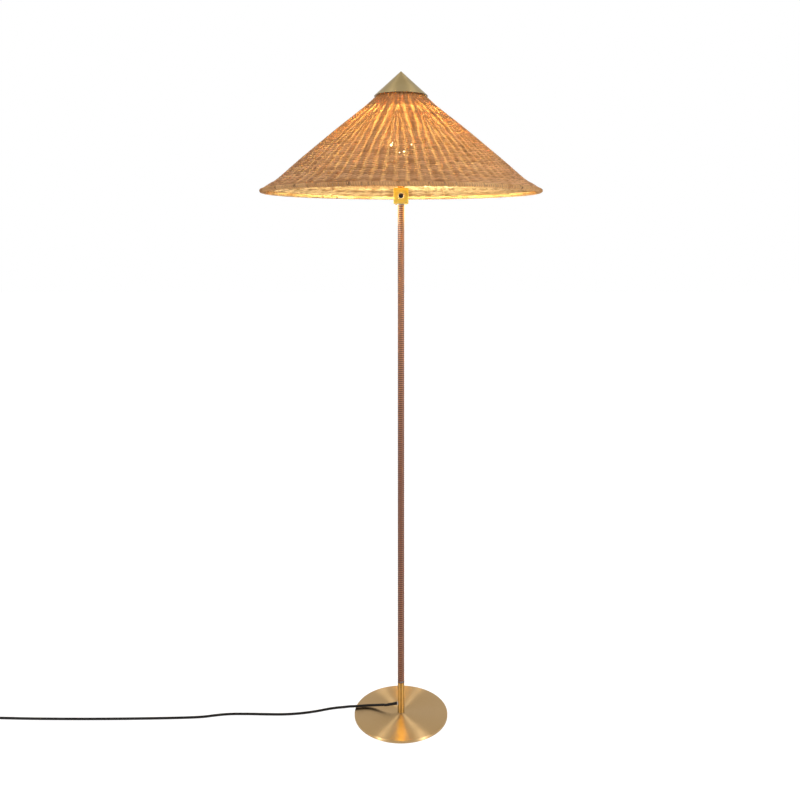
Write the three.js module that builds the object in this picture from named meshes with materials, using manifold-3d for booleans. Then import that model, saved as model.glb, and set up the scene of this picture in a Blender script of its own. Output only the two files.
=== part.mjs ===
// Rattan floor lamp: a wicker hat shade on a cane-wrapped stem with a brass foot.
// Millimetres, +Z up. The origin is the centre of the foot's underside, the front with the
// switch looks along -Y, and the mains lead leaves to the left, along -X.

import * as THREE from 'three';
import { mergeVertices } from 'three/addons/utils/BufferGeometryUtils.js';
import Module from 'manifold-3d';

const wasm = await Module();
wasm.setup();

// Clearances shared by all pieces

const CLEAR = 0.3; // gap between neighbours that only touch
const OVERRUN = 1; // how far a cutting tool passes through a wall
const WELD = 0.0001; // vertices nearer than this are one vertex

// Foot

const BASE_RADIUS = 100;
const BASE_HEIGHT = 6;
const BASE_SKIN = 0.8; // thickness of the spun brass cover
const BASE_EDGE_ROUND = 1.4;
const SKIRT_LIFT = 0.5; // the cover's edge stays off the floor
const PAD_THICKNESS = 0.8;
const PAD_MARGIN = 5; // the felt stops this far inside the edge
const BASE_SIDES = 48;

const FOOT_SCREW_RADIUS = 4;
const FOOT_SCREW_HEAD_RADIUS = 7;
const FOOT_SCREW_HEAD_DEPTH = 3;
const FOOT_SCREW_GRIP = 9; // thread length inside the foot socket
const FOOT_SCREW_KEY = 2.9; // corner radius of the hexagonal key hole
const FOOT_SCREW_KEY_DEPTH = 2;

// Foot socket, the bare brass tube that carries the stem

const SOCKET_RADIUS = 7;
const SOCKET_TOP = 70;
const SOCKET_FLOOR = 11; // thickness of the tapped floor
const SOCKET_CHAMBER_RADIUS = 5.2;
const SOCKET_CHAMBER_TOP = 36;
const LEAD_HOLE_HEIGHT = 24;
const LEAD_HOLE_RADIUS = 3.6;

// Stem

const TUBE_RADIUS = 5.5;
const TUBE_WALL = 1.5;
const TUBE_ENTRY = 8.2; // how far the tube reaches into the head box
const TUBE_SIDES = 16;
const ROUND_SIDES = 20; // facets of the turned pieces round the bulb
const STEM_LENGTH = 1032.4; // from the collar's top to the head box
const WRAP_RADIUS = 7.2;
const WRAP_GROOVE = 0.4; // depth between two turns of cane
const STRIP_WIDTH = 4.3; // one turn of the cane strip
const TURNS_PER_RIB = 3; // each modelled rib stands for three turns
const RIBS_PER_BORE_RING = 5;
const WRAP_POINTS = 8;

// Head box

const HEAD_SIDE = 32;
const HEAD_HEIGHT = 33.8;
const HEAD_WALL = 2.5;
const HEAD_ROOF = 3;
const HEAD_CORNER = 1.2;
const LID_THICKNESS = 2.7;
const POST_RADIUS = 3.2;
const POST_INSET = 3; // from the cavity's corner to a screw post's axis
const LID_SCREW_RADIUS = 1.5;
const LID_SCREW_HEAD_RADIUS = 2.6;
const LID_SCREW_HEAD_HEIGHT = 1.2;
const LID_SCREW_LENGTH = 9;
const STEM_NUT_RADIUS = 9.2;
const STEM_NUT_HEIGHT = 4;

// Push switch

const SWITCH_ABOVE_MIDDLE = 0.2; // from the head box's middle to the button's axis
const BUTTON_RADIUS = 4.8;
const BUTTON_PROUD = 2.2; // how far the dome stands out of the bezel
const BUTTON_DOME = 1.5;
const BUTTON_TRAVEL = 2;
const BUTTON_LENGTH = 10;
const SWITCH_NECK_WALL = 0.7;
const SWITCH_FLANGE_RADIUS = 7.4;
const SWITCH_FLANGE_HEIGHT = 1.8;
const SWITCH_BACK = 2; // the body ends this far behind the lamp's axis
const BEZEL_WIDTH = 1.65; // the ring seen round the button
const BEZEL_HEIGHT = 2.3;
const BEZEL_LIP = 1.1;
const BEZEL_ROUND = 0.6;

// Nipple, spacer and lampholder

const NIPPLE_RADIUS = 5;
const NIPPLE_BORE = 3.5;
const NIPPLE_TOP_REACH = 5.6; // above the lampholder's underside
const NIPPLE_DROP = 4.5; // below the head box's roof
const NIPPLE_NUT_RADIUS = 8;
const NIPPLE_NUT_HEIGHT = 4;
const SPACER_RADIUS = 8;
const SPACER_HEIGHT = 5.6;
const SADDLE_THICKNESS = 2;
const SADDLE_WIDTH = 12;
const HOLDER_RADIUS = 20;
const HOLDER_SKIN = 1;
const HOLDER_CUP_HEIGHT = 15;
const HOLDER_CUP_FLOOR_RADIUS = 10;
const HOLDER_SHELL_HEIGHT = 35;
const HOLDER_MOUTH_RADIUS = 14.9;
const CORE_FLOOR = 6;
const CORE_SINK = 4; // how far the ceramic core reaches into the cup
const SCREW_SHELL_RADIUS = 13.9; // lampholder's threaded sleeve
const SCREW_SHELL_SKIN = 0.5;
const SCREW_SHELL_HEIGHT = 23;
const CONTACT_RADIUS = 5;
const CONTACT_HEIGHT = 1;

// Bulb

const BULB_CAP_RADIUS = 13.1;
const BULB_CAP_SKIN = 0.6;
const BULB_CAP_HEIGHT = 19;
const BULB_TIP_RADIUS = 4.4;
const BULB_TIP_HEIGHT = 1.4;
const BULB_INSULATOR_HEIGHT = 3.6;
const BULB_RADIUS = 30;
const BULB_NECK_RADIUS = 12.1;
const BULB_NECK_SINK = 4; // glass inside the screw cap
const BULB_GLASS_HEIGHT = 84;
const BULB_GLASS = 1;

// Harp, the wire bow that carries the shade over the bulb

const HARP_WIRE = 2; // radius
const HARP_FOOT = 29; // half the distance between its legs
const HARP_HALF_WIDTH = 47;
const HARP_HEIGHT = 161.3; // from the pegs' tops to the crown
const HARP_STEPS = 32;
const PEG_HEIGHT = 8;
const FERRULE_RADIUS = 3.6;
const FERRULE_HEIGHT = 14;
const HARP_EYE_RADIUS = 6;
const HARP_EYE_HEIGHT = 5;
const STUD_RADIUS = 3;
const STUD_SEAT_RADIUS = 9;
const STUD_SEAT_HEIGHT = 3;
const STUD_RIVET_RADIUS = 4.4;
const STUD_RIVET_HEIGHT = 2.2;
const STUD_TIP_DEPTH = 37.2; // from the cap's apex down to the stud's end

// Shade

const SHADE_HEIGHT = 208.7;
const SHADE_TOP_RADIUS = 46.5;
const SHADE_RIM_RADIUS = 296;
const SHADE_WALL = 4;
const SHADE_SIDES = 52; // one side for each stake at the rim
const BORDER_OVERHANG = 4; // how far the border stands out past the weave
const BORDER_THICKNESS = 9.4;
const BORDER_STEPS = 6;
const RIM_WIRE = 1.5; // radius
const RIM_WIRE_DEPTH = 4.4; // from the border's inner face to the wire's centre
const TOP_WIRE = 1.5; // radius
const TOP_WIRE_DROP = 4.5; // below the weave's top edge
const HUB_RADIUS = 12;
const HUB_HEIGHT = 3;
const HUB_DEPTH = 18.9; // from the shade's top edge down to the hub
const ARM_RADIUS = 1.6;
const ARM_COUNT = 3;

// Shade's outline from the rim to the top, as shares of its height and of its spread
const SHADE_OUTLINE_SHARES = [
  [0, 1],
  [0.04, 0.95],
  [0.1, 0.872],
  [0.3, 0.685],
  [0.607, 0.384],
  [0.85, 0.135],
  [1, 0],
];

// Brass cap

const CAP_HEIGHT = 54;
const CAP_OVERLAP = 7; // how far the cap comes down over the shade
const CAP_RADIUS = 58.5;
const CAP_SKIN = 1;
const CAP_SIDES = 48;
const CAP_BOSS_RADIUS = 8;
const CAP_BORE_REST = 2; // free depth over the stud's end

// Wiring

const CORE_RADIUS = 0.95; // one insulated core
const CORE_SPACING = 1.3; // from the stem's axis
const CORE_SIDES = 6;

// Mains lead

const LEAD_RADIUS = 2.5;
const LEAD_SIDES = 8;
const LEAD_STEPS = 74;
const BUSHING_RADIUS = 3.3;
const BUSHING_FLANGE = 0.8;
const BUSHING_FLANGE_RADIUS = 4;
const RELIEF_LENGTH = 20;
const RELIEF_ROOT_RADIUS = 3.1;
const RELIEF_TIP_RADIUS = 2.75;
const RELIEF_DROOP = THREE.MathUtils.degToRad(16);
const RELIEF_SWING = THREE.MathUtils.degToRad(12);
const RELIEF_SIDES = 12;

// The lead's way over the foot and along the floor, chosen by hand
const LEAD_ROUTE = [
  [-38, 9, 15.2],
  [-50, 13.5, 12],
  [-63, 16.5, 9.8],
  [-78, 16.8, 8.9],
  [-99, 14.6, 8.8],
  [-112, 16.4, 7.2],
  [-124, 18.6, 4.6],
  [-137, 19.6, 2.9],
  [-153, 16.6, 2.6],
  [-186, 6.2, 2.6],
  [-220, -1.2, 2.6],
  [-254, -4.4, 2.6],
  [-289, -4.2, 2.6],
  [-334, -3, 2.6],
  [-375, -4, 2.6],
  [-400, -8.2, 2.6],
  [-425, -13.2, 2.6],
  [-458, -15.9, 2.6],
  [-492, -17.4, 2.6],
  [-560, -19.4, 2.6],
  [-640, -20.6, 2.6],
  [-720, -20.6, 2.6],
  [-800, -19.4, 2.6],
  [-850, -18.4, 3.1],
];

// Coil of the spare lead
const COIL_CENTRE = new THREE.Vector2(-898, -56);
const COIL_MEAN_RADIUS = 29;
const COIL_TURNS = 6.25;
const COIL_PITCH = 5.6; // from turn to turn and from layer to layer
const COIL_LIFT = 3.9; // height of the lower layer's centre
const COIL_STEPS_PER_TURN = 24;
const COIL_SIDES = 6;
const TIE_THICKNESS = 0.8;
const TIE_WIDTH = 7;
const TIE_SLACK = 0.5;
const TIE_ANGLE = THREE.MathUtils.degToRad(-35);

// Plug
const TAIL_LENGTH = 24;
const PLUG_LENGTH = 35;
const PLUG_WIDTH = 34;
const PLUG_WAIST = 18; // width where the lead comes in
const PLUG_THICKNESS = 14;
const PLUG_CORNER = 3;
const PLUG_FLOOR_GAP = 0.3;
const PLUG_RELIEF_LENGTH = 22;
const PLUG_RELIEF_ROOT = 4.5;
const PIN_RADIUS = 2;
const PIN_LENGTH = 19;
const PIN_SPACING = 19;
const PIN_NOSE = 1;

// Finishes

function finish(color, roughness, metalness) {
  return new THREE.MeshStandardMaterial({ color, roughness, metalness });
}

const SATIN_BRASS = finish(0xb2926a, 0.4, 1);
const POLISHED_BRASS = finish(0xd9a85c, 0.25, 1);
const STEEL = finish(0x8a8c90, 0.45, 1);
const FELT = finish(0x3a3a3c, 0.95, 0);
const CANE = finish(0x9a6648, 0.7, 0);
const WICKER = finish(0xbe8b5b, 0.75, 0);
const BLACK_PLASTIC = finish(0x1e1614, 0.5, 0);
const GREY_NYLON = finish(0x9c98a0, 0.5, 0);
const CERAMIC = finish(0xeee8dc, 0.35, 0);
const OPAL_GLASS = finish(0xfff2d8, 0.3, 0);
const LIVE_BROWN = finish(0x6b4226, 0.5, 0);
const NEUTRAL_BLUE = finish(0x2f5f9e, 0.5, 0);

// Geometry helpers

// Welds a geometry into one closed body without slivers, its faces looking out.
function closed(geometry) {
  const bare = new THREE.BufferGeometry();
  bare.setAttribute('position', geometry.getAttribute('position').clone());
  if (geometry.index) {
    bare.setIndex(geometry.index.clone());
  }
  const welded = mergeVertices(bare, WELD);
  const index = welded.index.array;
  const kept = [];
  for (let i = 0; i < index.length; i += 3) {
    const [a, b, c] = [index[i], index[i + 1], index[i + 2]];
    if (a !== b && b !== c && c !== a) {
      kept.push(a, b, c);
    }
  }
  if (enclosedVolume(welded, kept) < 0) {
    kept.reverse();
  }
  welded.setIndex(kept);
  return welded;
}

function enclosedVolume(geometry, index) {
  const place = geometry.getAttribute('position');
  const corners = [0, 1, 2].map(() => new THREE.Vector3());
  let volume = 0;
  for (let i = 0; i < index.length; i += 3) {
    corners.forEach((corner, k) => corner.fromBufferAttribute(place, index[i + k]));
    volume += corners[0].dot(corners[1].cross(corners[2])) / 6;
  }
  return volume;
}

function toManifold(geometry) {
  const body = closed(geometry);
  return new wasm.Manifold(new wasm.Mesh({
    numProp: 3,
    vertProperties: new Float32Array(body.getAttribute('position').array),
    triVerts: new Uint32Array(body.index.array),
  }));
}

function fromManifold(manifold) {
  const mesh = manifold.getMesh();
  const geometry = new THREE.BufferGeometry();
  geometry.setAttribute('position', new THREE.BufferAttribute(new Float32Array(mesh.vertProperties), 3));
  geometry.setIndex([...mesh.triVerts]);
  return geometry;
}

function cut(geometry, ...tools) {
  return fromManifold(tools.reduce((rest, tool) => rest.subtract(toManifold(tool)), toManifold(geometry)));
}

function join(geometry, ...others) {
  return fromManifold(others.reduce((sum, other) => sum.add(toManifold(other)), toManifold(geometry)));
}

// Turns a closed outline of [radius, height] points about Z.
function turned(outline, sides) {
  const points = outline.map(([radius, height]) => new THREE.Vector2(radius, height));
  return closed(new THREE.LatheGeometry(points, sides).rotateX(Math.PI / 2));
}

// Turns a tube wall, given as [inner radius, outer radius, bottom, top].
function ring(inner, outer, bottom, top, sides) {
  return turned([[inner, bottom], [outer, bottom], [outer, top], [inner, top], [inner, bottom]], sides);
}

// Turns a solid disc or rod.
function disc(radius, bottom, top, sides) {
  return turned([[0, bottom], [radius, bottom], [radius, top], [0, top]], sides);
}

function circle(radius, sides) {
  const shape = new THREE.Shape();
  for (let i = 0; i < sides; i += 1) {
    const angle = (i * 2 * Math.PI) / sides;
    const method = i === 0 ? 'moveTo' : 'lineTo';
    shape[method](radius * Math.cos(angle), radius * Math.sin(angle));
  }
  shape.closePath();
  return shape;
}

function roundedSquare(side, corner) {
  const reach = side / 2 - corner;
  const shape = new THREE.Shape();
  shape.absarc(reach, reach, corner, 0, Math.PI / 2);
  shape.absarc(-reach, reach, corner, Math.PI / 2, Math.PI);
  shape.absarc(-reach, -reach, corner, Math.PI, Math.PI * 1.5);
  shape.absarc(reach, -reach, corner, Math.PI * 1.5, Math.PI * 2);
  shape.closePath();
  return shape;
}

function plate(shape, bottom, top, curveSegments = 3) {
  const options = { depth: top - bottom, bevelEnabled: false, curveSegments };
  return closed(new THREE.ExtrudeGeometry(shape, options).translate(0, 0, bottom));
}

// Sweeps a round section along a curve.
function wireAlong(curve, radius, sides, steps) {
  const options = { steps, extrudePath: curve, bevelEnabled: false };
  return closed(new THREE.ExtrudeGeometry(circle(radius, sides), options));
}

function smoothCurve(points) {
  return new THREE.CatmullRomCurve3(points, false, 'centripetal');
}

// Joins rings of equally many points with faces and closes the two ends, or the two seams of a sleeve.
function loft(rings, sleeve = false) {
  const count = rings[0].length;
  const positions = rings.flat().flatMap((point) => point.toArray());
  const index = [];
  const spans = sleeve ? rings.length : rings.length - 1;
  for (let k = 0; k < spans; k += 1) {
    const here = k * count;
    const next = ((k + 1) % rings.length) * count;
    for (let i = 0; i < count; i += 1) {
      const j = (i + 1) % count;
      index.push(here + i, here + j, next + j, here + i, next + j, next + i);
    }
  }
  if (!sleeve) {
    const last = (rings.length - 1) * count;
    for (let i = 1; i < count - 1; i += 1) {
      index.push(0, i + 1, i, last, last + i, last + i + 1);
    }
  }
  const geometry = new THREE.BufferGeometry();
  geometry.setAttribute('position', new THREE.Float32BufferAttribute(positions, 3));
  geometry.setIndex(index);
  return closed(geometry);
}

// Rings of a tube that follows a list of centre points without twisting.
function tubeRings(centres, radius, sides) {
  const tangents = centres.map((_, i) => {
    const before = centres[Math.max(i - 1, 0)];
    const after = centres[Math.min(i + 1, centres.length - 1)];
    return after.clone().sub(before).normalize();
  });
  const upright = Math.abs(tangents[0].z) > Math.SQRT1_2;
  const side = upright ? new THREE.Vector3(1, 0, 0) : new THREE.Vector3(0, 0, 1);
  let across = side.cross(tangents[0]).normalize();
  return centres.map((centre, i) => {
    const turn = new THREE.Quaternion().setFromUnitVectors(tangents[Math.max(i - 1, 0)], tangents[i]);
    across = across.clone().applyQuaternion(turn);
    const up = tangents[i].clone().cross(across);
    return Array.from({ length: sides }, (_, k) => {
      const angle = ((k + 0.5) * 2 * Math.PI) / sides;
      const offset = across.clone().multiplyScalar(radius * Math.cos(angle));
      return centre.clone().add(offset).addScaledVector(up, radius * Math.sin(angle));
    });
  });
}

// Turns a hexagonal nut with its hole.
function hexNut(cornerRadius, bore, bottom, top) {
  const drill = disc(bore, bottom - OVERRUN, top + OVERRUN, TUBE_SIDES);
  return cut(plate(circle(cornerRadius, 6), bottom, top), drill);
}

const lamp = new THREE.Group();

function add(name, geometry, material) {
  const mesh = new THREE.Mesh(geometry, material);
  mesh.name = name;
  lamp.add(mesh);
  return mesh;
}

// Foot: felt pad, steel plate, spun brass cover and the screw that holds the socket

const weightBottom = PAD_THICKNESS + CLEAR;
const weightTop = BASE_HEIGHT - BASE_SKIN - CLEAR;
const weightRadius = BASE_RADIUS - BASE_SKIN - CLEAR;
const screwBore = FOOT_SCREW_RADIUS + CLEAR;
const socketBottom = BASE_HEIGHT + CLEAR;

function arcPoints(centreRadius, centreHeight, radius, from, to, count) {
  return Array.from({ length: count + 1 }, (_, i) => {
    const angle = from + ((to - from) * i) / count;
    return [centreRadius + radius * Math.cos(angle), centreHeight + radius * Math.sin(angle)];
  });
}

add('base_pad', disc(BASE_RADIUS - PAD_MARGIN, 0, PAD_THICKNESS, BASE_SIDES), FELT);

add('base_weight', turned([
  [FOOT_SCREW_HEAD_RADIUS + CLEAR, weightBottom],
  [weightRadius, weightBottom],
  [weightRadius, weightTop],
  [screwBore, weightTop],
  [screwBore, weightBottom + FOOT_SCREW_HEAD_DEPTH],
  [FOOT_SCREW_HEAD_RADIUS + CLEAR, weightBottom],
], BASE_SIDES), STEEL);

const outerEdge = arcPoints(
  BASE_RADIUS - BASE_EDGE_ROUND, BASE_HEIGHT - BASE_EDGE_ROUND, BASE_EDGE_ROUND, 0, Math.PI / 2, 2,
);
add('base_cover', turned([
  [screwBore, BASE_HEIGHT - BASE_SKIN],
  [BASE_RADIUS - BASE_SKIN, BASE_HEIGHT - BASE_SKIN],
  [BASE_RADIUS - BASE_SKIN, SKIRT_LIFT],
  [BASE_RADIUS, SKIRT_LIFT],
  ...outerEdge,
  [screwBore, BASE_HEIGHT],
  [screwBore, BASE_HEIGHT - BASE_SKIN],
], BASE_SIDES), SATIN_BRASS);

const screwTop = socketBottom + FOOT_SCREW_GRIP;
add('foot_screw', cut(
  turned([
    [0, weightBottom],
    [FOOT_SCREW_HEAD_RADIUS, weightBottom],
    [FOOT_SCREW_RADIUS, weightBottom + FOOT_SCREW_HEAD_DEPTH],
    [FOOT_SCREW_RADIUS, screwTop],
    [0, screwTop],
  ], TUBE_SIDES),
  plate(circle(FOOT_SCREW_KEY, 6), weightBottom - OVERRUN, weightBottom + FOOT_SCREW_KEY_DEPTH),
), STEEL);

// Foot socket with the side hole for the lead

const tubeSeat = TUBE_RADIUS + CLEAR;
const headBottom = SOCKET_TOP + STEM_LENGTH;
const headTop = headBottom + HEAD_HEIGHT;
const sideDrill = disc(LEAD_HOLE_RADIUS, 0, SOCKET_RADIUS + OVERRUN, TUBE_SIDES)
  .rotateY(-Math.PI / 2)
  .translate(0, 0, LEAD_HOLE_HEIGHT);
add('foot_socket', cut(
  turned([
    [screwBore, socketBottom],
    [SOCKET_RADIUS, socketBottom],
    [SOCKET_RADIUS, SOCKET_TOP],
    [tubeSeat, SOCKET_TOP],
    [tubeSeat, SOCKET_CHAMBER_TOP],
    [SOCKET_CHAMBER_RADIUS, SOCKET_CHAMBER_TOP],
    [SOCKET_CHAMBER_RADIUS, socketBottom + SOCKET_FLOOR],
    [screwBore, socketBottom + SOCKET_FLOOR],
    [screwBore, socketBottom],
  ], ROUND_SIDES),
  sideDrill,
), POLISHED_BRASS);

// Stem tube and its cane wrapping

const lidTop = headBottom + LID_THICKNESS;
const boxBottom = lidTop + CLEAR;
const roofBottom = headTop - HEAD_ROOF;
const tubeTop = headBottom + TUBE_ENTRY;
const tubeBore = TUBE_RADIUS - TUBE_WALL;
add('stem_tube', ring(tubeBore, TUBE_RADIUS, SOCKET_CHAMBER_TOP + CLEAR, tubeTop, TUBE_SIDES), STEEL);

const wrapBottom = SOCKET_TOP + CLEAR;
const wrapTop = headBottom - CLEAR;
const ribCount = Math.round((wrapTop - wrapBottom) / (STRIP_WIDTH * TURNS_PER_RIB));

function levelRing(radius, height) {
  return Array.from({ length: WRAP_POINTS }, (_, i) => {
    const angle = (i * 2 * Math.PI) / WRAP_POINTS;
    return new THREE.Vector3(radius * Math.cos(angle), radius * Math.sin(angle), height);
  });
}

function wrapping() {
  const pitch = (wrapTop - wrapBottom) / ribCount;
  const bore = tubeSeat / Math.cos(Math.PI / WRAP_POINTS);
  const rings = [];
  for (let rib = 0; rib < ribCount; rib += 1) {
    rings.push(levelRing(WRAP_RADIUS - WRAP_GROOVE, wrapBottom + rib * pitch));
    rings.push(levelRing(WRAP_RADIUS, wrapBottom + (rib + 0.5) * pitch));
  }
  rings.push(levelRing(WRAP_RADIUS - WRAP_GROOVE, wrapTop));
  for (let rib = ribCount; rib > 0; rib -= RIBS_PER_BORE_RING) {
    rings.push(levelRing(bore, wrapBottom + rib * pitch));
  }
  rings.push(levelRing(bore, wrapBottom));
  return loft(rings, true);
}

add('stem_wrap', wrapping(), CANE);

// Head box, its lid, screws and the nut that holds the stem

const cavity = HEAD_SIDE - 2 * HEAD_WALL;
const postReach = cavity / 2 - POST_INSET;
const postPlaces = [[-postReach, postReach], [postReach, -postReach]];
const lidScrewBore = LID_SCREW_RADIUS + CLEAR;
const nippleBore = NIPPLE_RADIUS + CLEAR;
const neckRadius = BUTTON_RADIUS + CLEAR + SWITCH_NECK_WALL;

const boxCavity = cut(
  plate(roundedSquare(cavity, HEAD_CORNER), boxBottom - OVERRUN, roofBottom),
  ...postPlaces.map(([x, y]) => (
    disc(POST_RADIUS, boxBottom - 2 * OVERRUN, headTop, TUBE_SIDES).translate(x, y, 0)
  )),
);
const switchHeight = (headBottom + headTop) / 2 + SWITCH_ABOVE_MIDDLE;
const switchDrill = disc(neckRadius + CLEAR, 0, HEAD_SIDE, TUBE_SIDES)
  .rotateX(Math.PI / 2)
  .translate(0, 0, switchHeight);
add('head_box', cut(
  plate(roundedSquare(HEAD_SIDE, HEAD_CORNER), boxBottom, headTop),
  boxCavity,
  switchDrill,
  disc(nippleBore, roofBottom - OVERRUN, headTop + OVERRUN, TUBE_SIDES),
  ...postPlaces.map(([x, y]) => {
    const depth = boxBottom + LID_SCREW_LENGTH + CLEAR;
    return disc(lidScrewBore, boxBottom - OVERRUN, depth, WRAP_POINTS).translate(x, y, 0);
  }),
), POLISHED_BRASS);

add('head_lid', cut(
  plate(roundedSquare(HEAD_SIDE, HEAD_CORNER), headBottom, lidTop),
  disc(tubeSeat, headBottom - OVERRUN, lidTop + OVERRUN, TUBE_SIDES),
  ...postPlaces.map(([x, y]) => (
    disc(lidScrewBore, headBottom - OVERRUN, lidTop + OVERRUN, WRAP_POINTS).translate(x, y, 0)
  )),
), POLISHED_BRASS);

const screwHeadTop = headBottom - CLEAR;
postPlaces.forEach(([x, y], i) => {
  add(`lid_screw_${i + 1}`, turned([
    [0, screwHeadTop - LID_SCREW_HEAD_HEIGHT],
    [LID_SCREW_HEAD_RADIUS, screwHeadTop - LID_SCREW_HEAD_HEIGHT],
    [LID_SCREW_HEAD_RADIUS, screwHeadTop],
    [LID_SCREW_RADIUS, screwHeadTop],
    [LID_SCREW_RADIUS, boxBottom + LID_SCREW_LENGTH],
    [0, boxBottom + LID_SCREW_LENGTH],
  ], WRAP_POINTS), POLISHED_BRASS).position.set(x, y, 0);
});

const stemNutBottom = lidTop + CLEAR;
add('stem_nut', hexNut(STEM_NUT_RADIUS, tubeSeat, stemNutBottom, stemNutBottom + STEM_NUT_HEIGHT), STEEL);

// Push switch, drawn as distances in front of the lamp's axis and then laid along -Y

const faceOut = HEAD_SIDE / 2;
const bezelFoot = faceOut + CLEAR;
const bezelFront = bezelFoot + BEZEL_HEIGHT;
const lipBack = bezelFront - BEZEL_LIP;
const bezelBore = BUTTON_RADIUS + CLEAR;
const bezelRadius = BUTTON_RADIUS + BEZEL_WIDTH + CLEAR;
const buttonFront = bezelFront + BUTTON_PROUD;
const buttonBack = buttonFront - BUTTON_LENGTH;
const flangeFront = faceOut - HEAD_WALL - CLEAR;

function towardsFront(outline, sides) {
  return turned(outline, sides).rotateX(Math.PI / 2);
}

const buttonBed = buttonBack - BUTTON_TRAVEL - CLEAR;
add('switch_body', towardsFront([
  [0, -SWITCH_BACK],
  [neckRadius, -SWITCH_BACK],
  [neckRadius, flangeFront - SWITCH_FLANGE_HEIGHT],
  [SWITCH_FLANGE_RADIUS, flangeFront - SWITCH_FLANGE_HEIGHT],
  [SWITCH_FLANGE_RADIUS, flangeFront],
  [neckRadius, flangeFront],
  [neckRadius, lipBack - CLEAR],
  [bezelBore, lipBack - CLEAR],
  [bezelBore, buttonBed],
  [0, buttonBed],
], TUBE_SIDES), BLACK_PLASTIC).position.z = switchHeight;

add('switch_bezel', towardsFront([
  [neckRadius + CLEAR, bezelFoot],
  [bezelRadius, bezelFoot],
  [bezelRadius, bezelFront - BEZEL_ROUND],
  [bezelRadius - BEZEL_ROUND, bezelFront],
  [bezelBore, bezelFront],
  [bezelBore, lipBack],
  [neckRadius + CLEAR, lipBack],
  [neckRadius + CLEAR, bezelFoot],
], ROUND_SIDES), POLISHED_BRASS).position.z = switchHeight;

const domeShoulder = buttonFront - BUTTON_DOME;
const domeRadius = (BUTTON_RADIUS ** 2 + BUTTON_DOME ** 2) / (2 * BUTTON_DOME);
const domeAngle = Math.asin(BUTTON_RADIUS / domeRadius);
add('switch_button', towardsFront([
  [0, buttonBack],
  [BUTTON_RADIUS, buttonBack],
  [BUTTON_RADIUS, domeShoulder],
  ...[0.75, 0.5, 0.25, 0].map((share) => {
    const angle = domeAngle * share;
    return [domeRadius * Math.sin(angle), buttonFront - domeRadius * (1 - Math.cos(angle))];
  }),
], 20), BLACK_PLASTIC).position.z = switchHeight;

// Threaded nipple, its nut and the spacer under the lampholder

const spacerBottom = headTop + CLEAR;
const spacerTop = spacerBottom + SPACER_HEIGHT;
const saddleBottom = spacerTop + CLEAR;
const saddleTop = saddleBottom + SADDLE_THICKNESS;
const holderBottom = saddleTop + CLEAR;
add('holder_nipple', ring(
  NIPPLE_BORE, NIPPLE_RADIUS, roofBottom - NIPPLE_DROP, holderBottom + NIPPLE_TOP_REACH, TUBE_SIDES,
), STEEL);
add('nipple_nut', hexNut(
  NIPPLE_NUT_RADIUS, nippleBore, roofBottom - CLEAR - NIPPLE_NUT_HEIGHT, roofBottom - CLEAR,
), STEEL);
add('holder_spacer', ring(nippleBore, SPACER_RADIUS, spacerBottom, spacerTop, ROUND_SIDES), POLISHED_BRASS);

// Harp saddle with its two pegs, ferrules, bow and stud

const saddleBar = new THREE.Shape();
saddleBar.absarc(HARP_FOOT, 0, SADDLE_WIDTH / 2, -Math.PI / 2, Math.PI / 2);
saddleBar.absarc(-HARP_FOOT, 0, SADDLE_WIDTH / 2, Math.PI / 2, Math.PI * 1.5);
saddleBar.closePath();
const legSigns = [-1, 1];
const pegTop = saddleTop + PEG_HEIGHT;
add('harp_saddle', join(
  cut(
    plate(saddleBar, saddleBottom, saddleTop, 6),
    disc(nippleBore, saddleBottom - OVERRUN, saddleTop + OVERRUN, TUBE_SIDES),
  ),
  ...legSigns.map((sign) => (
    disc(HARP_WIRE, saddleBottom, pegTop, WRAP_POINTS).translate(sign * HARP_FOOT, 0, 0)
  )),
), POLISHED_BRASS);

const ferruleBottom = saddleTop + CLEAR;
legSigns.forEach((sign) => {
  const side = sign < 0 ? 'left' : 'right';
  add(`harp_ferrule_${side}`, ring(
    HARP_WIRE + CLEAR, FERRULE_RADIUS, ferruleBottom, ferruleBottom + FERRULE_HEIGHT, TUBE_SIDES,
  ), POLISHED_BRASS).position.x = sign * HARP_FOOT;
});

// Harp's right half from its foot to the crown, as shares of its height and half width
const HARP_OUTLINE_SHARES = [
  [0, 0],
  [0.07, 0],
  [0.15, 0.14],
  [0.3, 0.72],
  [0.5, 1],
  [0.7, 0.78],
];
const HARP_CROWN_SHARES = [
  [0.86, 0.72],
  [0.955, 0.38],
  [0.992, 0.12],
];

const harpFoot = pegTop + CLEAR;
const harpTop = harpFoot + HARP_HEIGHT;

function harpCurve() {
  const lower = HARP_OUTLINE_SHARES.map(([up, out]) => (
    [HARP_FOOT + (HARP_HALF_WIDTH - HARP_FOOT) * out, harpFoot + HARP_HEIGHT * up]
  ));
  const crown = HARP_CROWN_SHARES.map(([up, out]) => (
    [HARP_FOOT * out + HARP_EYE_RADIUS, harpFoot + HARP_HEIGHT * up]
  ));
  const half = [...lower, ...crown];
  const left = half.map(([x, z]) => new THREE.Vector3(-x, 0, z));
  const right = half.map(([x, z]) => new THREE.Vector3(x, 0, z)).reverse();
  return smoothCurve([...left, new THREE.Vector3(0, 0, harpTop), ...right]);
}

const eyeBottom = harpTop - HARP_EYE_HEIGHT / 2;
const eyeTop = harpTop + HARP_EYE_HEIGHT / 2;
const eyeBore = STUD_RADIUS + CLEAR;
add('harp', cut(
  join(
    wireAlong(harpCurve(), HARP_WIRE, WRAP_POINTS, HARP_STEPS),
    disc(HARP_EYE_RADIUS, eyeBottom, eyeTop, TUBE_SIDES),
  ),
  disc(eyeBore, eyeBottom - OVERRUN, eyeTop + OVERRUN, TUBE_SIDES),
), POLISHED_BRASS);

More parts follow.
